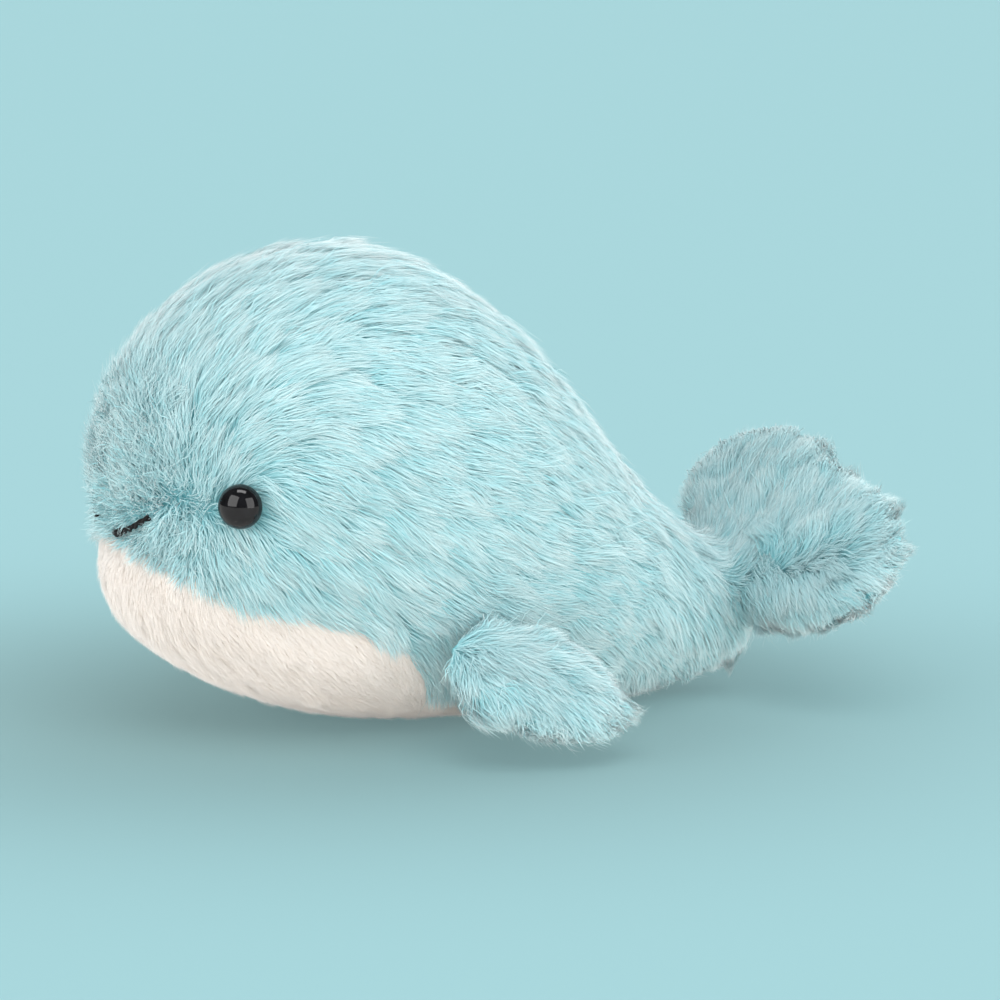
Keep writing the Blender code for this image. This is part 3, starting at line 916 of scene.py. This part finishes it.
@dataclass
class Hide:
    """The sewn body, belly and flukes: one skin in three panels, and the pile on each."""

    eyes: list[Button]
    smile: "Mouth"
    voxel: float = 0.0020
    sink: float = 0.0026
    belly_sink: float = 0.0014
    wall: float = 0.0008
    pile: float = 0.0135
    snout_pile: float = 0.0055
    fluke_pile: float = 0.0115
    belly_pile: float = 0.0036
    snout_tip: tuple[float, float, float] = (0.0, -0.0985, 0.0500)
    body_cut: Cut = Cut(
        strands=162000, width=0.00021, spans=2, lift=0.0018, lift_share=0.10, wisp=0.0013, lock=0.0038,
        stray=0.02, frizz=0.0003, sway=8.0, lock_sway=8.0, lock_pull=0.38,
    )
    fluke_cut: Cut = Cut(
        strands=52000, width=0.00020, spans=2, lift=0.0016, lift_share=0.12, wisp=0.0013, lock=0.0042,
        frizz=0.0004, sway=10.0,
    )
    belly_cut: Cut = Cut(
        strands=110000, width=0.00017, spans=1, lift=0.0010, lift_share=0.08, wisp=0.0007, lock=0.003,
        sway=14.0, lock_pull=0.10, wisp_pull=0.12, lock_sway=5.0, frizz=0.0001, stray=0.0,
    )
    fan_start: tuple[float, float] = (11.0, 11.0)
    fan_end: tuple[float, float] = (27.0, 34.0)
    fan_back: float = 0.33
    hinge_before: float = 0.010
    hinge_after: float = 0.009

    def tail_frame(self) -> tuple[np.ndarray, np.ndarray]:
        """The tail joint's place, and the flukes' own directions as rows: across, along and up."""
        rise, roll = math.radians(TAIL_RISE), math.radians(TAIL_ROLL)
        across = np.array((math.cos(roll), 0.0, -math.sin(roll)))
        along = np.array((math.sin(roll) * math.sin(rise), math.cos(rise), math.cos(roll) * math.sin(rise)))
        return np.array(joint("tail_bend")["pos_m"]), np.stack((across, along, np.cross(across, along)))

    def build(self) -> None:
        """Makes the skin, its panels, and what the pile does on them."""
        body_nodes = ("body_panel_left", "body_panel_right")
        fluke_nodes = ("fluke_panel_upper", "fluke_panel_under")
        self.form = skin_form(
            (*body_nodes, "belly_panel", "body_stuffing", *fluke_nodes, "fluke_stuffing"),
            self.voxel, self.sink, self.eyes,
        )
        ground = self.ground = Ground.of(self.form)
        layer = self.form.verts.layers.float["sunk"]
        sunk = np.array([v[layer] for v in self.form.verts])
        surface = ground.places + ground.normals * sunk[:, None]
        to_body = distances(surface, body_nodes)
        self.past_seam = to_body - distances(surface, ("belly_panel",))
        self.past_seam -= 0.008 * eased(surface[:, 1], -0.038, -0.026)
        self.past_tail = to_body - distances(surface, fluke_nodes)
        # The belly's plush is short, so its cloth lies nearer to the surface
        rise = np.clip(sunk - self.belly_sink, 0, None) * eased(self.past_seam, -0.001, 0.003)
        sunk = sunk - rise
        ground.places += ground.normals * rise[:, None]
        for vertex, place in zip(self.form.verts, ground.places):
            vertex.co = place
        seam = self.past_seam[ground.faces].mean(1)
        tail = self.past_tail[ground.faces].mean(1)
        self.panel = np.where(seam > 0, Panel.BELLY.value, Panel.BODY.value)
        self.panel[tail > 0] = Panel.FLUKES.value
        self.comb(surface, sunk)

    def comb(self, surface: np.ndarray, sunk: np.ndarray) -> None:
        """Says at each vertex which way the pile lies, how long it is and how far it frizzes.

        Args:
            surface: The vertices' places on the CAD surface.
            sunk: How far the skin lies below that surface.
        """
        ground = self.ground
        chart = np.array(COMBING, float)
        gap = (surface[:, None, 1:] / MM - chart[None, :, :2]) ** 2
        weight = 1 / (gap.sum(2) + COMBING_REACH ** 2) ** 2
        angle = np.radians(chart[:, 2])
        lie = np.stack((weight @ np.cos(angle), weight @ np.sin(angle)), 1)
        flow = np.concatenate((np.zeros((len(lie), 1)), unit(lie)), 1)
        flow = unit(flow - ground.normals * dots(flow, ground.normals))
        # On the flukes the pile spreads from the middle towards the rims
        origin, ways = self.tail_frame()
        local = (surface - origin) @ ways.T / MM
        start, end = np.array(self.fan_start), np.array(self.fan_end)
        share = np.clip((local[:, :2] - start) @ (end - start) / ((end - start) @ (end - start)), 0, 1)
        spread = local[:, :2] - (start + share[:, None] * (end - start))
        from_middle = np.linalg.norm(spread, axis=1)
        spread = spread / (from_middle[:, None] + 2.0) + (0.0, self.fan_back)
        fan = np.concatenate((spread, np.zeros((len(spread), 1))), 1) @ ways
        fan = unit(fan - ground.normals * (dots(fan, ground.normals) * 0.75 - 0.06))
        # Where the rim turns under, the pile hangs over it
        rim = eased(1 - np.abs(ground.normals @ ways[2]), 0.2, 0.8)
        hanging = rim * eased(-ground.normals[:, 2], -0.35, 0.25)
        drop = unit(np.array((0.0, 0.0, -1.0)) + ground.normals * ground.normals[:, 2:])
        fan = unit(fan * (1 - 0.8 * hanging[:, None]) + drop * hanging[:, None])
        onto = eased(self.past_tail, -0.004, 0.004)[:, None]
        # On the belly the plush is brushed back and a little down
        brushed = np.tile((0.0, 0.8, -0.35), (len(lie), 1))
        brushed = unit(brushed - ground.normals * dots(brushed, ground.normals))
        under = eased(self.past_seam, -0.0005, 0.0005)[:, None] * (1 - onto)
        deep = eased(self.past_seam, 0.004, 0.020)[:, None] * (1 - onto)
        ground.flow = ground.combed(flow * (1 - onto - deep) + fan * onto + brushed * deep)
        onto, under = onto[:, 0], under[:, 0]
        from_tip = np.linalg.norm(surface - np.array(self.snout_tip), axis=1)
        snout = (1.0 - eased(from_tip, 0.032, 0.052)) * (1 - under)
        # The stitches of the smile press the pile down
        pressed = np.exp(-(self.smile.distance(surface) / 0.0020) ** 2) * (surface[:, 1] < -0.08)
        pressed *= eased(np.abs(surface[:, 0]), 0.004, 0.008)
        reach = self.pile + (self.snout_pile - self.pile) * snout
        reach = reach * (1 - 0.70 * pressed) + 0.004 * eased(surface[:, 1], 0.048, 0.062)
        rear = eased(surface[:, 1], -0.045, -0.030)
        seam_reach = 0.0060 + 0.005 * rear + np.clip(-self.past_seam, 0, None) * 0.8
        reach = np.minimum(reach, seam_reach)
        # Under the tail's root the pile is short, so that none of it hangs down there
        beneath = eased(surface[:, 1], 0.030, 0.045) * eased(-ground.normals[:, 2], 0.1, 0.5)
        reach = reach * (1 - 0.65 * beneath)
        reach = reach * (1 - onto) + self.fluke_pile * onto
        ground.reach = np.where(under > 0.5, self.belly_pile, reach)
        low = rear * (1 - eased(surface[:, 2], 0.012, 0.024))
        free = np.maximum(eased(surface[:, 1], 0.035, 0.055) * 0.6, low * 0.8)
        ground.hold = 0.5 - 0.45 * np.maximum(onto, free)
        ground.hold += (0.4 + 0.4 * hanging) * onto
        ground.frizz = np.maximum(0.15 + 0.85 * snout, onto * 0.3) * (1 - under)
        ground.loft = (1.0 + 0.8 * snout) * (1 - 0.75 * pressed)
        # Painted light and shade: the pile's tone is paler along the flukes' rims and darker along their
        # middle, where shade falls in the valley
        rim = rim * onto
        middle = np.exp(-(from_middle / 9.0) ** 2) * onto
        ground.shade = 0.50 * rim - 0.16 * middle
        # The flukes' own outline holds: their pile ends about where the modelled rim is
        ground.leave = np.where(onto > 0.5, np.maximum(sunk - 0.0013, 0.0007), 1.0)

    def clear_of_eyes(self, places: np.ndarray) -> np.ndarray:
        """Moves places out from in front of the eyes."""
        for eye in self.eyes:
            places = eye.clear(places)
        return places

    def under_eyes(self, places: np.ndarray) -> np.ndarray:
        """Says which roots lie under an eye."""
        return np.any([eye.hides(places) for eye in self.eyes], axis=0)

    def ride(self, piece: bpy.types.Object, bends: bool = True) -> None:
        """Lets a piece follow the body, and bend with the tail where it reaches it.

        Args:
            piece: The piece.
            bends: Whether it reaches the tail's joint.
        """
        if not bends:
            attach(piece, "torso")
            return
        origin, _ = self.tail_frame()
        # Level, so that the high back of the body stays where it is
        along = np.array((0.0, 1.0, 0.0))
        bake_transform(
            piece, "torso", "tail_flukes",
            start=tuple(origin - along * self.hinge_before), end=tuple(origin + along * self.hinge_after),
        )

    def skin(self, panel: Panel, name: str, backing: bpy.types.Material) -> bpy.types.Object:
        """Makes one panel's backing cloth, as thick as knitted backing is.

        Args:
            panel: Which panel.
            name: The piece's name.
            backing: Its finish.

        Returns:
            The piece.
        """
        form = self.form.copy()
        form.faces.ensure_lookup_table()
        gone = [face for face in form.faces if self.panel[face.index] != panel.value]
        bmesh.ops.delete(form, geom=gone, context="FACES")
        smooth_faces(form)
        mesh = finished_mesh(form, SOLIDIFY={"thickness": self.wall, "offset": -1.0, "use_rim": True})
        return shown(name, mesh, backing)

    def dress(self, blue_cloth: bpy.types.Material, cream_cloth: bpy.types.Material,
              blue: bpy.types.Material, cream: bpy.types.Material) -> None:
        """Makes the panels and their pile, and lets them ride.

        Args:
            blue_cloth: The finish of the blue backing.
            cream_cloth: The finish of the cream backing.
            blue: The finish of the blue pile.
            cream: The finish of the cream plush.
        """
        body = self.skin(Panel.BODY, "body_skin", blue_cloth)
        belly = self.skin(Panel.BELLY, "belly_skin", cream_cloth)
        flukes = self.skin(Panel.FLUKES, "fluke_skin", blue_cloth)
        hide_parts("body_panel_left", "body_panel_right", "body_stuffing")
        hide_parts("belly_panel")
        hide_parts("fluke_panel_upper", "fluke_panel_under", "fluke_stuffing")
        for piece, slot in ((body, "fur"), (belly, "plush"), (flukes, "fur")):
            self.ride(piece)
            report(piece)
        trails = self.ground.trails(self.clear_of_eyes)
        plans = (
            (Panel.BODY, self.body_cut, blue, "fur", "body_pile", 3),
            (Panel.BELLY, self.belly_cut, cream, "plush", "belly_pile", 1),
            (Panel.FLUKES, self.fluke_cut, blue, "fur", "fluke_pile", 1),
        )
        for seed, (panel, cut, fibre, slot, name, rows) in enumerate(plans):
            strands = grow(
                self.ground, np.flatnonzero(self.panel == panel.value), cut, seed + 11,
                self.clear_of_eyes, self.under_eyes, trails,
            )
            for side in Side:
                half = strands.chosen(np.sign(strands.spine[0, :, 0]) == side.value)
                rank = np.argsort(np.argsort(half.spine[0, :, 1]))
                for row in range(rows):
                    part = half.chosen(rank * rows // len(rank) == row)
                    label = f"{name}_{side.word}" + (f"_{row + 1}" if rows > 1 else "")
                    piece = shown(label, part.mesh(label), fibre)
                    self.ride(piece, bends=part.spine[..., 1].max() > 0.03)
                    report(piece)


@dataclass
class Flipper:
    """A stuffed flipper: its skin and the pile that fans out from its root."""

    side: Side
    voxel: float = 0.0013
    sink: float = 0.0016
    pile: float = 0.0095
    cut: Cut = Cut(
        strands=23000, width=0.00020, spans=2, lift=0.0014, lift_share=0.13, wisp=0.0013, lock=0.0042,
        frizz=0.0006, sway=10.0, lock_pull=0.45,
    )
    fan_from: tuple[float, float] = (2.0, -5.0)
    tip_reach: float = 0.0045

    def ways(self) -> tuple[np.ndarray, np.ndarray]:
        """The flipper joint's place, and its own directions as rows: out, back and up."""
        droop, turn, sign = math.radians(FLIPPER_DROOP), math.radians(FLIPPER_TURN), self.side.value
        flat = math.cos(droop)
        out = np.array((flat * math.cos(turn) * sign, flat * math.sin(turn), -math.sin(droop)))
        back = np.array((-math.sin(turn) * sign, math.cos(turn), 0.0))
        up = np.cross(out, back) * sign
        return np.array(joint(f"{self.side.word}_flipper_bend")["pos_m"]), np.stack((out, back, up))

    def build(self) -> None:
        """Makes the skin and says how the pile lies on it."""
        word = self.side.word
        self.nodes = [f"flipper_{word}_{part}" for part in ("upper", "under", "stuffing")]
        self.form = skin_form(self.nodes, self.voxel, self.sink)
        ground = self.ground = Ground.of(self.form)
        origin, ways = self.ways()
        local = (ground.places - origin) @ ways.T / MM
        spread = local[:, :2] - self.fan_from
        spread = spread / (np.linalg.norm(spread, axis=1, keepdims=True) + 2.0)
        fan = np.concatenate((spread, np.zeros((len(spread), 1))), 1) @ ways
        # The pile of the leading edge hangs down
        front = eased(-local[:, 1], 2.0, 11.0)
        fan = fan - ground.normals * (dots(fan, ground.normals) * 0.6 - 0.05)
        fan = unit(fan - np.outer(front, (0.0, 0.0, 1.1)))
        ground.flow = ground.combed(fan)
        ground.reach = np.full(len(local), self.pile)
        ground.hold = np.full(len(local), 0.35)
        ground.frizz = np.full(len(local), 0.4)
        ground.loft = np.ones(len(local))
        rim = eased(1 - np.abs(ground.normals @ ways[2]), 0.2, 0.8)
        tip = eased(local[:, 1], 12.0, 26.0)
        # Painted light and shade: the pile's tone is paler on the rims and towards the tip, and a little darker
        # nearer the root
        ground.shade = 0.28 * rim + 0.24 * tip - 0.06 * (1 - tip)
        layer = self.form.verts.layers.float["sunk"]
        sunk = np.array([v[layer] for v in self.form.verts])
        longer = np.maximum(eased(local[:, 1], 8.0, 24.0), front * 1.5)
        ground.leave = np.maximum(sunk - 0.0008, 0.0006) + self.tip_reach * longer

    def dress(self, backing: bpy.types.Material, fibre: bpy.types.Material) -> None:
        """Makes the flipper's pieces and lets them ride.

        Args:
            backing: The finish of the backing.
            fibre: The finish of the pile.
        """
        word = self.side.word
        form = self.form.copy()
        smooth_faces(form)
        skin = shown(f"flipper_{word}_skin", finished_mesh(form), backing)
        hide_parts(*self.nodes)
        strands = grow(
            self.ground, np.arange(len(self.ground.faces)), self.cut, 31 + self.side.value,
            lambda places: places, lambda places: np.zeros(len(places), bool),
            self.ground.trails(lambda places: places),
        )
        name = f"flipper_{word}_pile"
        pile = shown(name, strands.mesh(name), fibre)
        for piece in (skin, pile):
            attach(piece, f"{word}_flipper")
            report(piece)


@dataclass
class Eye:
    """A domed button eye on its post, turned in one piece."""

    side: Side
    seat: Button
    post_radius: float = 0.0021
    post_end: float = 0.0120
    edge: float = 0.0006
    segments: int = 64

    def profile(self) -> list[tuple[float, float]]:
        """The half section: radius and height over the widest ring, from the apex down."""
        radius, dome = self.seat.radius, self.seat.back
        steps = 16
        line = []
        for step in range(steps + 1):
            angle = math.pi / 2 * step / steps
            line.append((radius * math.sin(angle), dome * math.cos(angle)))
        for step in range(1, 5):
            angle = math.pi / 2 * step / 4
            line.append((radius - self.edge * (1 - math.cos(angle)), -self.edge * math.sin(angle)))
        line.append((self.post_radius + 0.0006, -self.edge))
        line.append((self.post_radius, -self.edge - 0.0005))
        line.append((self.post_radius, -self.post_end + 0.0005))
        line.append((self.post_radius * 0.8, -self.post_end))
        line.append((0.0, -self.post_end))
        return line

    def build(self, resin: bpy.types.Material) -> bpy.types.Object:
        """Turns the eye and puts it on its node's place.

        Args:
            resin: Its finish.

        Returns:
            The piece.
        """
        form = bmesh.new()
        verts = [form.verts.new((radius, 0.0, height)) for radius, height in self.profile()]
        edges = [form.edges.new(pair) for pair in zip(verts, verts[1:])]
        bmesh.ops.spin(
            form, geom=verts + edges, cent=(0, 0, 0), axis=(0, 0, 1), angle=math.tau,
            steps=self.segments, use_merge=True,
        )
        bmesh.ops.remove_doubles(form, verts=form.verts, dist=MERGE)
        bmesh.ops.recalc_face_normals(form, faces=form.faces)
        centre = self.seat.apex - self.seat.axis * self.seat.back
        bmesh.ops.transform(form, matrix=seated(centre, self.seat.axis), verts=form.verts)
        smooth_faces(form)
        node = f"eye_{self.side.word}"
        piece = shown(f"{node}_button", finished_mesh(form), resin)
        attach(piece, "torso")
        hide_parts(node)
        report(piece)
        return piece


@dataclass
class Mouth:
    """The smile, a twisted yarn laid on the pile from cheek to cheek."""

    height: float = 0.0495
    half_width: float = 0.0235
    rise: float = 0.0068
    ply_radius: float = 0.00044
    plies: int = 2
    turns: float = 9.0
    steps: int = 90
    over_skin: float = 0.0024
    knot: float = 0.0090
    knot_spread: float = 0.0025

    def distance(self, places: np.ndarray) -> np.ndarray:
        """How far places on the face lie from the smile, seen from the front."""
        x = np.clip(places[:, 0], -self.half_width, self.half_width)
        z = self.height + self.rise * (x / self.half_width) ** 2
        return np.hypot(places[:, 0] - x, places[:, 2] - z)

    def build(self, ground: Ground, yarn: bpy.types.Material) -> bpy.types.Object:
        """Lays the plies along the snout.

        Args:
            ground: The skin of the head.
            yarn: Its finish.

        Returns:
            The piece.
        """
        tree = ground.tree()
        middle, normals = [], []
        for step in range(self.steps + 1):
            share = step / self.steps * 2 - 1
            start = Vector((share * self.half_width, -0.2, self.height + self.rise * share * share))
            place, normal, _, _ = tree.ray_cast(start, Vector((0, 1, 0)))
            middle.append(place + normal * self.over_skin * min(1.0, 0.3 + abs(place.x) / 0.011))
            normals.append(normal)
        curve = bpy.data.curves.new("plies", "CURVE")
        curve.dimensions = "3D"
        curve.bevel_depth = self.ply_radius
        curve.bevel_resolution = 3
        curve.use_fill_caps = True
        for ply in range(self.plies):
            spline = curve.splines.new("POLY")
            spline.points.add(self.steps)
            for step, (place, normal) in enumerate(zip(middle, normals)):
                along = (middle[min(step + 1, self.steps)] - middle[max(step - 1, 0)]).normalized()
                side = along.cross(normal).normalized()
                angle = math.tau * (self.turns * step / self.steps + ply / self.plies)
                off = side * math.cos(angle) + side.cross(along) * math.sin(angle)
                at = place + off * self.ply_radius * 0.85
                spline.points[step].co = (*at, 1.0)
                off_knot = (abs(place.x) - self.knot) / self.knot_spread
                spline.points[step].radius = 1.0 + 0.8 * math.exp(-(off_knot ** 2))
        piece = shown("mouth_yarn", evaluated_mesh(curve), yarn)
        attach(piece, "torso")
        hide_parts("mouth_thread")
        report(piece)
        return piece


# ---------------------------------------------------------------- studio


@dataclass
class Studio:
    """A wide matt floor, an even sky, five soft suns, three windows and the camera."""

    floor_radius: float = 12.0
    floor_colour: str = "9fcacf"
    shadow_colour: str = "87a7a9"
    bounce_colour: str = "e9e8e4"
    glow: float = 0.55
    shadow_centre: tuple[float, float] = (-0.010, -0.028)
    shadow_radius: float = 0.34
    sky_colour: str = "f2f6f7"
    backdrop_colour: str = "b3dade"
    sky_strength: float = 0.74
    dark_strength: float = 0.12
    sun_far: float = 2.0
    window_far: float = 1.5
    # Name, strength, softness, azimuth and elevation
    suns: tuple[tuple[str, float, float, float, float], ...] = (
        ("ceiling_light", 1.3, 55.0, 80.0, 62.0),
        ("rear_light", 0.7, 50.0, 215.0, 28.0),
        ("front_light", 0.65, 30.0, 72.0, 10.0),
        ("left_light", 1.25, 40.0, 10.0, 13.0),
        ("right_light", 1.5, 40.0, 126.0, 10.0),
    )
    # Name, width and height, radiance, azimuth and elevation
    windows: tuple[tuple[str, tuple[float, float], float, float, float], ...] = (
        ("window_left", (1.1, 1.2), 4.0, 27.0, 26.0),
        ("window_right", (1.1, 1.2), 3.6, 112.0, 20.0),
        ("roof_window", (0.9, 0.45), 7.0, 60.0, 79.0),
    )

    def floor(self) -> None:
        """Lays the floor with a painted soft shadow: its colour is a little deeper round the whale.

        The camera sees it coloured and partly glowing in that colour, and the whale gets white light back from
        it.
        """
        form = bmesh.new()
        bmesh.ops.create_circle(form, cap_ends=True, segments=96, radius=self.floor_radius)
        material, tree, output = new_material("matt_paper_sweep")
        place = add_node(tree, "ShaderNodeTexCoord")
        size = 1 / self.shadow_radius
        centred = add_node(tree, "ShaderNodeMapping", {
            "Vector": place.outputs["Object"], "Scale": (size, size, size),
            "Location": (-self.shadow_centre[0] * size, -self.shadow_centre[1] * size, 0.0),
        })
        round_fade = add_node(
            tree, "ShaderNodeTexGradient", {0: centred.outputs[0]}, gradient_type="QUADRATIC_SPHERE",
        )
        # Painted shadow: the floor's colour deepens from floor_colour to shadow_colour towards the whale
        ramp = add_ramp(
            tree, round_fade.outputs["Fac"], ((0.0, self.floor_colour), (0.75, self.shadow_colour)),
        )
        ramp.color_ramp.interpolation = "EASE"
        matt = {"Roughness": 0.95, "Specular IOR Level": 0.1}
        paper = add_node(tree, "ShaderNodeBsdfPrincipled", {"Base Color": ramp.outputs[0], **matt})
        glow = add_node(tree, "ShaderNodeEmission", {"Color": ramp.outputs[0], "Strength": 1.0})
        seen = add_node(
            tree, "ShaderNodeMixShader", {0: self.glow, 1: paper.outputs[0], 2: glow.outputs[0]},
        )
        bounce = add_node(
            tree, "ShaderNodeBsdfPrincipled", {"Base Color": linear(self.bounce_colour), **matt},
        )
        rays = add_node(tree, "ShaderNodeLightPath")
        mix = add_node(tree, "ShaderNodeMixShader", {
            0: rays.outputs["Is Camera Ray"], 1: bounce.outputs[0], 2: seen.outputs[0],
        })
        tree.links.new(mix.outputs[0], output.inputs[0])
        shown("floor", finished_mesh(form), material)

    def sky(self) -> None:
        """Lights the object evenly from all sides, with the floor's colour behind it."""
        world = bpy.data.worlds.new("soft_sky")
        bpy.context.scene.world = world
        world.use_nodes = True
        tree = world.node_tree
        tree.nodes.clear()
        rays = add_node(tree, "ShaderNodeLightPath")
        light, dark, back = (
            add_node(tree, "ShaderNodeBackground", {"Color": linear(colour), "Strength": strength})
            for colour, strength in (
                (self.sky_colour, self.sky_strength), (self.sky_colour, self.dark_strength),
                (self.backdrop_colour, 1.0),
            )
        )
        # The polished eyes reflect a dark room with lit windows
        seen = add_node(tree, "ShaderNodeMixShader", {
            0: rays.outputs["Is Glossy Ray"], 1: light.outputs[0], 2: dark.outputs[0],
        })
        mix = add_node(tree, "ShaderNodeMixShader", {
            0: rays.outputs["Is Camera Ray"], 1: seen.outputs[0], 2: back.outputs[0],
        })
        add_node(tree, "ShaderNodeOutputWorld", {0: mix.outputs[0]})

    def hang(
        self, name: str, data: bpy.types.Light | bpy.types.Camera, azimuth: float, elevation: float, far: float,
    ) -> bpy.types.Object:
        """Hangs a lamp or the camera so that it faces the whale.

        Args:
            name: Its name.
            data: The light or the camera's data.
            azimuth: Where it hangs, in degrees from the whale's front.
            elevation: How high above the floor, in degrees.
            far: Its distance.

        Returns:
            The lamp or camera.
        """
        turn, lift = math.radians(azimuth), math.radians(elevation)
        away = Vector((math.sin(turn) * math.cos(lift), -math.cos(turn) * math.cos(lift), math.sin(lift)))
        hung = bpy.data.objects.new(name, data)
        bpy.context.scene.collection.objects.link(hung)
        hung.location = Vector(CAMERA_TARGET) + away * far
        hung.rotation_euler = (-away).to_track_quat("-Z", "Y").to_euler()
        return hung

    def sun(self, name: str, strength: float, softness: float, azimuth: float, elevation: float) -> None:
        """Adds a broad soft light that no polished piece mirrors.

        Args:
            name: Its name.
            strength: Its strength.
            softness: How wide it looks from the whale, in degrees.
            azimuth: Where it stands, in the same angles as the camera.
            elevation: How high it stands, in degrees.
        """
        data = bpy.data.lights.new(name, "SUN")
        data.energy = strength
        data.angle = math.radians(softness)
        self.hang(name, data, azimuth, elevation, self.sun_far).visible_glossy = False

    def window(
        self, name: str, size: tuple[float, float], radiance: float, azimuth: float, elevation: float,
    ) -> None:
        """Adds a window that only polished pieces mirror.

        Args:
            name: Its name.
            size: Its width and height.
            radiance: How bright it looks.
            azimuth: Where it hangs, in the same angles as the camera.
            elevation: How high it hangs, in degrees.
        """
        data = bpy.data.lights.new(name, "AREA")
        data.shape = "RECTANGLE"
        data.size, data.size_y = size
        data.energy = radiance * math.pi * size[0] * size[1]
        self.hang(name, data, azimuth, elevation, self.window_far).visible_diffuse = False

    def camera(self) -> None:
        """Stands the camera where the photographer's was."""
        data = bpy.data.cameras.new("camera")
        data.lens = CAMERA_LENS
        data.clip_end = 50.0
        bpy.context.scene.camera = self.hang(
            "camera", data, CAMERA_AZIMUTH, CAMERA_ELEVATION, CAMERA_DISTANCE,
        )

    def build(self) -> None:
        """Sets up the whole studio."""
        bpy.context.scene.view_settings.view_transform = "Standard"
        self.camera()
        self.floor()
        self.sky()
        for sun in self.suns:
            self.sun(*sun)
        for window in self.windows:
            self.window(*window)


def main() -> None:
    """Builds the whale's sub-assemblies in order."""
    logging.basicConfig(level=logging.INFO, format="%(name)s %(message)s")
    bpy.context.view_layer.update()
    Studio().build()
    # The ramps darken towards the root: partly the fibres' own colour, partly painted shade deep in the pile
    blue = PileFibre(
        "acrylic_pile_blue_green",
        ((0.0, "50abb5"), (0.3, "88c6cd"), (0.6, "b5dade"), (1.0, "e9f4f3")),
    ).build()
    cream = PileFibre(
        "polyester_plush_cream", ((0.0, "f5e9df"), (0.4, "fdf5ed"), (1.0, "fffbf7")), along=0.5,
    ).build()
    blue_cloth = KnitBacking("polyester_knit_blue_green", "86c4cb", "68aab2").build()
    cream_cloth = KnitBacking("polyester_knit_cream", "f6ece2", "e9ddd0").build()
    washer = PlainWasher().build()
    seats = {side: Button.of(f"eye_{side.word}", side) for side in Side}
    smile = Mouth()
    hide = Hide(list(seats.values()), smile)
    hide.build()
    hide.dress(blue_cloth, cream_cloth, blue, cream)
    resin = PolishedResin().build()
    for side in Side:
        flipper = Flipper(side)
        flipper.build()
        flipper.dress(blue_cloth, blue)
        Eye(side, seats[side]).build(resin)
        node = frame["nodes"][f"eye_washer_{side.word}"]
        node.data.materials.clear()
        node.data.materials.append(washer)
    smile.build(hide.ground, EmbroideryYarn().build())


if __name__ == "__main__":
    main()
